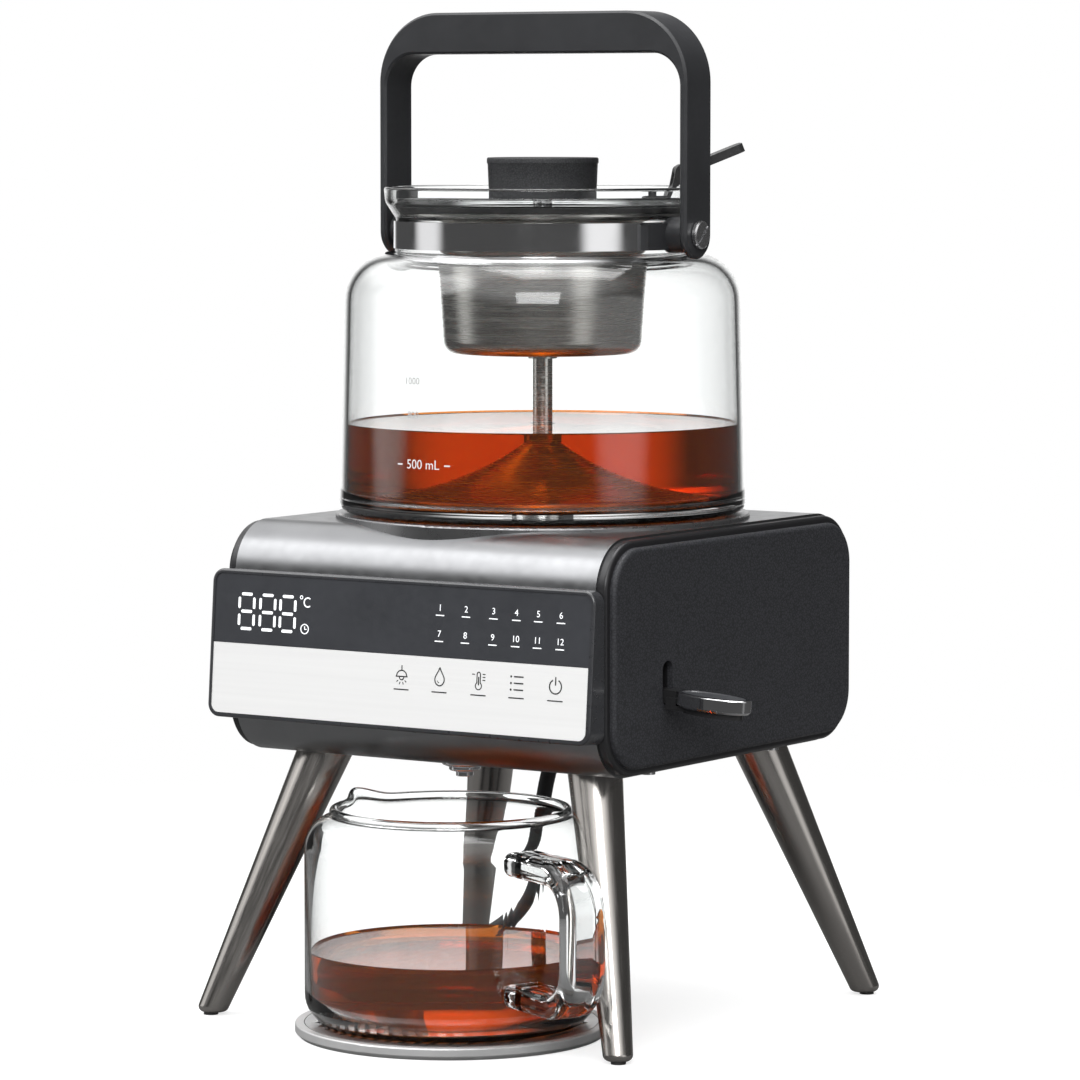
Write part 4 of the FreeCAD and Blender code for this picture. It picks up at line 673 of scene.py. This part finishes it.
def mains_lead():
    """One open spline: the free stretch from the base, then the loops, ending at the plug."""
    exit_point = vec(*CORD_EXIT)
    route = [exit_point] + [vec(*p) for p in CORD_LEAD] + coil_points()
    last_way = math.radians(COIL_HEADING + 180 + 360 * COIL_TURNS)
    route.append(route[-1] + Vector((math.cos(last_way), math.sin(last_way), 0)) * PLUG_RUN * MM)
    curve = bpy.data.curves.new("mains_lead", "CURVE")
    curve.dimensions = "3D"
    curve.bevel_depth = CORD_DIAMETER / 2
    curve.bevel_resolution = 6
    curve.resolution_u = 6
    curve.use_fill_caps = True
    spline = curve.splines.new("NURBS")
    spline.points.add(len(route) - 1)
    for point, place in zip(spline.points, route):
        point.co = (*place, 1)
    spline.order_u = 3
    spline.use_endpoint_u = True
    curve.materials.append(materials["cord_rubber"])
    obj = shown("mains_lead", curve)
    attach(obj, "base")
    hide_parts("cord_lead", "cord_coil")


mains_lead()


# Kettle

def kettle_outline():
    """Closed profile of the glass: up the outside, over the rim and down the inside."""
    k = KETTLE_FLOOR
    w = KETTLE_WALL
    flare_top = KETTLE_MOUTH + 6.6 * MM
    flare_foot = KETTLE_MOUTH - 0.5 * MM
    inner_neck = KETTLE_NECK_RADIUS - w
    inner_mouth = KETTLE_MOUTH_RADIUS - w
    return rounded([
        (VALVE_HOLE, k, 0),
        (KETTLE_RADIUS, k, 4 * MM),
        (KETTLE_SHOULDER_RADIUS, KETTLE_SHOULDER, 19 * MM),
        (KETTLE_NECK_RADIUS, KETTLE_SHOULDER, 2 * MM),
        (KETTLE_NECK_RADIUS, KETTLE_MOUTH, 2.5 * MM),
        (KETTLE_MOUTH_RADIUS - 0.5 * MM, flare_top, 6 * MM),
        (KETTLE_MOUTH_RADIUS, KETTLE_RIM, 1.2 * MM),
        (inner_mouth, KETTLE_RIM, 1.0 * MM),
        (inner_mouth, flare_top, 2 * MM),
        (inner_neck, flare_foot, 1 * MM),
        (inner_neck, KETTLE_SHOULDER - w, 4 * MM),
        (KETTLE_SHOULDER_RADIUS - w, KETTLE_SHOULDER - w, 19 * MM - w),
        (KETTLE_RADIUS - w, k + KETTLE_BOTTOM, 5 * MM),
        (VALVE_HOLE, k + KETTLE_BOTTOM, 0),
    ])


def kettle_inner(z):
    """Inner radius of the kettle's wall at a height on its straight part."""
    share = (z - KETTLE_FLOOR) / (KETTLE_SHOULDER - KETTLE_FLOOR)
    return KETTLE_RADIUS + (KETTLE_SHOULDER_RADIUS - KETTLE_RADIUS) * share - KETTLE_WALL


def kettle():
    glass = lathe("kettle_body", kettle_outline(), materials["kettle_clear"], segments=160, smooth_angle=40)
    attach(glass, "kettle")
    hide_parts("kettle_glass", "kettle_mouth")


def kettle_tea():
    low = KETTLE_FLOOR + KETTLE_BOTTOM + TEA_GAP
    edge = kettle_inner(KETTLE_TEA)
    tea = lathe("kettle_tea", rounded([
        (0, low, 0),
        (kettle_inner(low) - TEA_GAP, low, 5 * MM),
        (edge - TEA_GAP, KETTLE_TEA + 0.6 * MM, 0),
        (edge - 1.5 * MM, KETTLE_TEA, 0.6 * MM),
        (0, KETTLE_TEA, 0),
    ]), tea_liquid("kettle_tea", (0.93, 0.74, 0.2), 70), segments=160)
    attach(tea, "kettle")


def on_kettle(angle_middle):
    """Puts print on the outside of the kettle, centred at an angle in degrees."""
    def place(x, y, lift):
        z = y * MM
        radius = kettle_inner(z) + KETTLE_WALL + lift + 0.02 * MM
        angle = math.radians(angle_middle) + x * MM / radius
        return AXIS + Vector((radius * math.cos(angle), radius * math.sin(angle), z))
    return place


def kettle_marks():
    """The white mark with its dashes, and the two fainter ones above it."""
    white = Surface("mark_white", (0.9, 0.9, 0.9), 0.5)
    white.tint(white.noise(900, 2), (0.82, 0.82, 0.82), (0.92, 0.92, 0.92))
    grey = Surface("mark_grey", (0.55, 0.55, 0.55), 0.5)
    grey.tint(grey.noise(900, 2), (0.5, 0.5, 0.5), (0.6, 0.6, 0.6))
    marks = (
        # text, size and height in millimetres, angle round the kettle, with dashes or not
        ("500 mL", 5.0, 213.6, -91.5, True),
        ("800", 3.6, 232.0, -95.0, False),
        ("1000", 3.6, 244.6, -95.5, False),
    )
    for text, size, z, angle, dashes in marks:
        shapes = [lettering(text, size, (0, z))]
        if dashes:
            shapes.append(bar(-12.2, z, -9.6, z, 0.6))
            shapes.append(bar(9.6, z, 12.2, z, 0.6))
        ink = white if dashes else grey
        obj = printed("mark_" + text.replace(" ", "_"), shapes, on_kettle(angle), ink.material)
        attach(obj, "kettle")


kettle()
kettle_tea()
kettle_marks()


# Front panel print

def on_panel(x, y, lift):
    """A point on the tilted panel: x to the right and y up it in millimetres, lift off it in metres."""
    out = lift - PANEL_SINK + 0.01 * MM
    across = Vector((1, 0, 0))
    up = Vector((0, math.sin(PANEL_TILT), math.cos(PANEL_TILT)))
    outward = Vector((0, -math.cos(PANEL_TILT), math.sin(PANEL_TILT)))
    return PANEL_CENTRE + across * (x * MM) + up * (y * MM) + outward * out


def seven_segments(x, y, width, height, thick):
    half_w = (width - thick) / 2
    half_h = (height - thick) / 2
    reach = half_w - thick * 0.75
    shapes = []
    for level in (-half_h, 0, half_h):
        shapes.append(bar(x - reach, y + level, x + reach, y + level, thick))
    for side in (-half_w, half_w):
        for low, high in ((-half_h + thick, -thick * 0.9), (thick * 0.9, half_h - thick)):
            shapes.append(bar(x + side, y + low, x + side, y + high, thick))
    return shapes


def lamp_icon(x, y):
    shapes = [ribbon(arc((x, y - 0.6), 2.3, 0, 180), 0.42)]
    shapes.append(bar(x - 2.7, y - 0.6, x + 2.7, y - 0.6, 0.42))
    shapes.append(bar(x, y + 1.5, x, y + 3.6, 0.42))
    shapes.append(ribbon(arc((x, y - 0.8), 1.0, 180, 360, 10), 0.4))
    for turn in (-50, -18, 18, 50):
        angle = math.radians(turn - 90)
        way = Vector((math.cos(angle), math.sin(angle)))
        one = way * 1.9
        two = way * 2.9
        shapes.append(bar(x + one.x, y - 0.8 + one.y, x + two.x, y - 0.8 + two.y, 0.34))
    return shapes


def drop_icon(x, y):
    """A circle drawn up to a point at the top, with a small shine inside."""
    steps = 32
    points = []
    for k in range(steps):
        angle = TAU * k / steps
        pull = max(0.0, math.sin(angle)) ** 3
        side = 2.1 * math.cos(angle) * (1 - 0.75 * pull)
        height = 2.3 * math.sin(angle) + 2.0 * pull
        points.append(Vector((x + side, y - 0.7 + height)))
    return [ribbon(points, 0.45, True), ribbon(arc((x, y - 0.8), 1.1, 200, 260, 8), 0.3)]


def thermometer_icon(x, y):
    right_foot = Vector((x + 0.75, y - 0.9))
    left_foot = Vector((x - 0.75, y - 0.9))
    tube = [right_foot] + arc((x, y + 2.3), 0.75, 0, 180, 8) + [left_foot]
    bulb = arc((x, y - 2.0), 1.35, 128, 412, 18)
    shapes = [ribbon(tube + bulb[1:-1], 0.4, True), bar(x, y - 1.8, x, y + 1.4, 0.5)]
    for level in (0.2, 1.3, 2.4):
        shapes.append(bar(x + 1.7, y + level, x + 3.0, y + level, 0.36))
    shapes.append(bar(x - 3.0, y + 2.2, x - 1.7, y + 2.2, 0.36))
    return shapes


def list_icon(x, y):
    shapes = []
    for level in (-2.4, 0, 2.4):
        shapes.append(disc((x - 2.5, y + level), 0.42, 12))
        shapes.append(bar(x - 1.3, y + level, x + 3.0, y + level, 0.5))
    return shapes


def power_icon(x, y):
    return [ribbon(arc((x, y - 0.2), 2.6, 118, 422, 28), 0.5), bar(x, y + 0.2, x, y + 3.4, 0.5)]


def display_digits():
    shapes = []
    for x in (-70.0, -60.2, -50.8):
        shapes += seven_segments(x, 12.4, 8.0, 14.2, 1.15)
    return shapes


def display_signs():
    """Degree sign with its C, and a small clock under them."""
    return [
        ribbon(arc((-44.6, 19.0), 0.6, 0, 340, 14), 0.32, True),
        ribbon(arc((-41.6, 17.2), 1.7, 50, 310, 18), 0.5),
        ribbon(arc((-42.6, 7.2), 1.75, 0, 350, 28), 0.4, True),
        bar(-42.6, 7.0, -42.6, 8.3, 0.35),
        bar(-42.7, 7.1, -41.6, 7.1, 0.35),
    ]


def programme_figures():
    """Two rows of numbers, each over a short line."""
    columns = (18.8, 30.4, 42.6, 52.7, 62.3, 72.2)
    rows = (17.6, 8.0)
    shapes = []
    for row, y in enumerate(rows):
        for column, x in enumerate(columns):
            number = row * len(columns) + column + 1
            shapes.append(lettering(str(number), 3.4, (x, y + 0.8)))
            shapes.append(bar(x - 1.9, y - 1.9, x + 1.9, y - 1.9, 0.4))
    return shapes


def key_signs():
    """The row of touch keys, each sign over a line."""
    keys = (
        (2.7, lamp_icon),
        (19.8, drop_icon),
        (37.2, thermometer_icon),
        (54.0, list_icon),
        (71.0, power_icon),
    )
    shapes = []
    for x, icon in keys:
        shapes += icon(x, -7.2)
        shapes.append(bar(x - 3.4, -12.6, x + 3.4, -12.6, 0.45))
    return shapes


def panel_print():
    white = glowing_print("display_white", (0.92, 0.94, 0.96), 0.5)
    ink = Surface("print_black", (0.012, 0.012, 0.013), 0.5)
    ink.tint(ink.noise(800, 2), (0.008, 0.008, 0.008), (0.02, 0.02, 0.02))
    prints = (
        ("display_digits", display_digits(), white),
        ("display_signs", display_signs(), white),
        ("programme_figures", programme_figures(), white),
        ("key_signs", key_signs(), ink.material),
    )
    for name, shapes, material in prints:
        obj = printed(name, shapes, on_panel, material)
        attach(obj, "base")


panel_print()


# Jug

def jug_outline(inset, floor):
    """Half profile from the bottom's middle to the rim, moved in by inset, its bottom raised by floor."""
    f = JUG_FLOOR
    rim = JUG_RIM
    return rounded([
        (0, f + floor, 0),
        (JUG_BASE_RADIUS - inset, f + floor, 2.5 * MM),
        (JUG_RADIUS - inset, f + floor + 6 * MM, 12 * MM - inset),
        (JUG_RADIUS - inset, rim - 4 * MM, 13 * MM - inset),
        (JUG_RIM_RADIUS - inset, rim - 2.2 * MM, 1.2 * MM),
        (JUG_RIM_RADIUS - inset, rim, 0),
    ], closed=False)


def draw_spout(mesh):
    """Draws the rim out and up into a pouring lip."""
    for v in mesh.vertices:
        flat = Vector((v.co.x - JUG_CENTRE.x, v.co.y - JUG_CENTRE.y))
        if v.co.z < JUG_RIM - SPOUT_DEPTH or flat.length < 30 * MM:
            continue
        turn = math.atan2(flat.y, flat.x) - SPOUT_TURN
        turn = (turn + math.pi) % TAU - math.pi
        near = math.exp(-(turn / SPOUT_HALF_TURN) ** 2)
        height = min(max((v.co.z - (JUG_RIM - SPOUT_DEPTH)) / SPOUT_DEPTH, 0), 1.1)
        outward = flat.normalized() * near * height ** 1.6 * SPOUT_REACH
        v.co.x += outward.x
        v.co.y += outward.y
        v.co.z += near * max(0, height - 0.6) * SPOUT_RISE


def fuse(glass, handle):
    """Makes one closed mesh of the jug's body and its handle."""
    join = glass.modifiers.new("handle", "BOOLEAN")
    join.operation = "UNION"
    join.object = handle
    join.solver = "EXACT"
    bpy.context.view_layer.update()
    evaluated = glass.evaluated_get(bpy.context.evaluated_depsgraph_get())
    whole = bpy.data.meshes.new_from_object(evaluated)
    glass.modifiers.clear()
    glass.data = whole
    bpy.data.objects.remove(handle)
    whole.shade_smooth()
    whole.set_sharp_from_angle(angle=math.radians(50))


def jug():
    outer = jug_outline(0, 0)
    inner = jug_outline(JUG_WALL, JUG_BOTTOM)
    bead = 1.7 * MM
    middle = Vector((JUG_RIM_RADIUS - JUG_WALL / 2, JUG_RIM - bead * 0.5))
    lip = arc(middle, bead, -50, 230, 14)
    profile = outer[:-1] + lip + list(reversed(inner[:-1]))
    glass = lathe("jug_body", profile, materials["jug_clear"], JUG_CENTRE, 160, 60)
    draw_spout(glass.data)
    glass.data.shade_smooth()
    fuse(glass, jug_handle())
    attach(glass, "jug")
    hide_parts("jug_glass", "jug_handle")


def jug_tea():
    low = JUG_FLOOR + JUG_BOTTOM + TEA_GAP
    inside = JUG_WALL + TEA_GAP
    tea = lathe("jug_tea", rounded([
        (0, low, 0),
        (JUG_BASE_RADIUS - inside, low, 2.5 * MM),
        (JUG_RADIUS - inside, low + 6 * MM, 12 * MM - inside),
        (JUG_RADIUS - inside, JUG_TEA + 0.8 * MM, 0),
        (JUG_RADIUS - inside - 1.6 * MM, JUG_TEA, 0.8 * MM),
        (0, JUG_TEA, 0),
    ]), tea_liquid("jug_tea", (0.96, 0.78, 0.2), 70), JUG_CENTRE, 160)
    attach(tea, "jug")


def jug_handle():
    """The bent strap of the handle, reaching a little into the jug's wall."""
    line = rounded([
        (HANDLE_START, HANDLE_HIGH, 0),
        (HANDLE_REACH, HANDLE_HIGH, HANDLE_BEND),
        (HANDLE_REACH, HANDLE_LOW, HANDLE_BEND),
        (HANDLE_START, HANDLE_LOW, 0),
    ], closed=False, step=math.radians(6))
    dense = []
    for one, two in zip(line, line[1:]):
        pieces = max(1, int((two - one).length / (3 * MM)))
        dense += [one.lerp(two, k / pieces) for k in range(pieces)]
    dense.append(line[-1])
    half_w = HANDLE_HALF_WIDTH
    half_t = HANDLE_HALF_THICKNESS
    corner = half_t * 0.8
    section = rounded([
        (-half_w, -half_t, corner),
        (half_w, -half_t, corner),
        (half_w, half_t, corner),
        (-half_w, half_t, corner),
    ], step=math.radians(15))
    along = Vector((math.cos(HANDLE_TURN), math.sin(HANDLE_TURN), 0))
    across = Vector((-math.sin(HANDLE_TURN), math.cos(HANDLE_TURN), 0))
    verts = []
    for i, point in enumerate(dense):
        before = dense[max(i - 1, 0)]
        after = dense[min(i + 1, len(dense) - 1)]
        way = (after - before).normalized()
        normal = Vector((-way.y, way.x))
        for s in section:
            r = point.x + normal.x * s.y
            z = point.y + normal.y * s.y
            verts.append(JUG_CENTRE + along * r + across * s.x + Vector((0, 0, z)))
    count = len(section)
    faces = []
    for i in range(len(dense) - 1):
        for k in range(count):
            n = (k + 1) % count
            faces.append((i * count + k, i * count + n, (i + 1) * count + n, (i + 1) * count + k))
    faces.append(tuple(range(count)))
    faces.append(tuple((len(dense) - 1) * count + k for k in range(count)))
    return mesh_object("handle_strap", verts, faces, materials["jug_clear"], 50)


jug()
jug_tea()


# Lid and knob

def lid():
    low = node_low("lid_glass")
    high = node_high("lid_glass")
    glass = lathe("lid_disc", rounded([
        (2.5 * MM, low.z, 0),
        (high.x - AXIS.x, low.z, 1.3 * MM),
        (high.x - AXIS.x, high.z, 1.3 * MM),
        (2.5 * MM, high.z, 0),
    ]), materials["lid_clear"], segments=160, smooth_angle=50)
    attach(glass, "lid")
    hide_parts("lid_glass")


def lid_knob():
    foot = node_low("lid_knob").z
    top = node_high("lid_knob").z
    radius = node_high("lid_knob").x - AXIS.x
    knob = lathe("lid_knob_grip", rounded([
        (0, foot, 0),
        (radius - 0.8 * MM, foot, 0.6 * MM),
        (radius - 0.3 * MM, top - 2.5 * MM, 0),
        (radius, top - 2.0 * MM, 0),
        (radius, top, 0.7 * MM),
        (radius - 2.5 * MM, top, 0.5 * MM),
        (radius - 4.5 * MM, top - 1.2 * MM, 1 * MM),
        (0, top - 1.2 * MM, 0),
    ]), materials["knob_plastic"], segments=128)
    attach(knob, "lid")
    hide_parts("lid_knob")


lid()
lid_knob()


# Stage and light

def floor_surface():
    """White where seen straight or through glass, dim in reflections, and clear before its edge."""
    made = Surface("floor", (FLOOR_DIM,) * 3, 0.9, Specular_IOR_Level=0.0, Emission_Color=(1, 1, 1, 1))
    path = made.add("LightPath")
    bounces = made.maths("ADD", path.outputs["Glossy Depth"], path.outputs["Diffuse Depth"])
    seen = made.maths("LESS_THAN", bounces, 0.5)
    made.link(made.range(seen, 0, 1, FLOOR_DIM, FLOOR_LIT), made.shader.inputs["Base Color"])
    made.link(made.maths("MULTIPLY", seen, FLOOR_GLOW), made.shader.inputs["Emission Strength"])
    coords = made.add("TexCoord")
    away = made.add("VectorMath", operation="LENGTH")
    made.link(coords.outputs["Object"], away.inputs[0])
    blend = made.add("MixShader")
    faded = made.range(away.outputs["Value"], FLOOR_FADE_START, FLOOR_FADE_END, smooth=True)
    made.link(faded, blend.inputs["Fac"])
    made.link(made.shader.outputs["BSDF"], blend.inputs[1])
    made.link(made.add("BsdfTransparent").outputs["BSDF"], blend.inputs[2])
    output = next(n for n in made.tree.nodes if n.type == "OUTPUT_MATERIAL")
    made.link(blend.outputs["Shader"], output.inputs["Surface"])
    return made.material


def stage():
    bpy.ops.mesh.primitive_plane_add(size=FLOOR_SIDE, location=AXIS)
    floor = bpy.context.object
    floor.name = "floor"
    floor.data.materials.append(floor_surface())


def world():
    """White to the camera; for the object a dim room with large soft boxes."""
    made = bpy.data.worlds.new("studio")
    made.use_nodes = True
    tree = made.node_tree
    tree.nodes.clear()
    coords = new_node(tree, "TexCoord")
    base = new_node(tree, "Value")
    base.outputs[0].default_value = ROOM_LEVEL
    total = base.outputs[0]
    for direction, start, full, strength in SOFT_BOXES:
        facing = new_node(tree, "VectorMath", operation="DOT_PRODUCT")
        tree.links.new(coords.outputs["Generated"], facing.inputs[0])
        facing.inputs[1].default_value = Vector(direction).normalized()
        box = new_node(
            tree, "MapRange", interpolation_type="SMOOTHSTEP",
            From_Min=start, From_Max=full, To_Max=strength,
        )
        tree.links.new(facing.outputs["Value"], box.inputs["Value"])
        add = new_node(tree, "Math", operation="ADD")
        tree.links.new(box.outputs["Result"], add.inputs[0])
        tree.links.new(total, add.inputs[1])
        total = add.outputs[0]
    room = new_node(tree, "Background", Color=(1, 1, 1, 1))
    tree.links.new(total, room.inputs["Strength"])
    seen = new_node(tree, "Background", Color=(1, 1, 1, 1), Strength=1.0)
    path = new_node(tree, "LightPath")
    mix = new_node(tree, "MixShader")
    output = new_node(tree, "OutputWorld")
    tree.links.new(path.outputs["Is Camera Ray"], mix.inputs["Fac"])
    tree.links.new(room.outputs[0], mix.inputs[1])
    tree.links.new(seen.outputs[0], mix.inputs[2])
    tree.links.new(mix.outputs[0], output.inputs["Surface"])
    bpy.context.scene.world = made


def area_light(name, place, side, watts):
    """A square light aimed at the kettle; place is in millimetres, side in metres."""
    data = bpy.data.lights.new(name, "AREA")
    data.size = side
    data.energy = watts
    obj = shown(name, data)
    obj.location = vec(*place)
    aim = Vector((0, 0, 200))
    obj.rotation_euler = (aim - Vector(place)).to_track_quat("-Z", "Y").to_euler()


stage()
world()
area_light("top_light", (100, 100, 1500), 0.9, 10)
area_light("front_light", (900, -1500, 1000), 0.8, 12)
bpy.context.scene.view_settings.view_transform = "Standard"
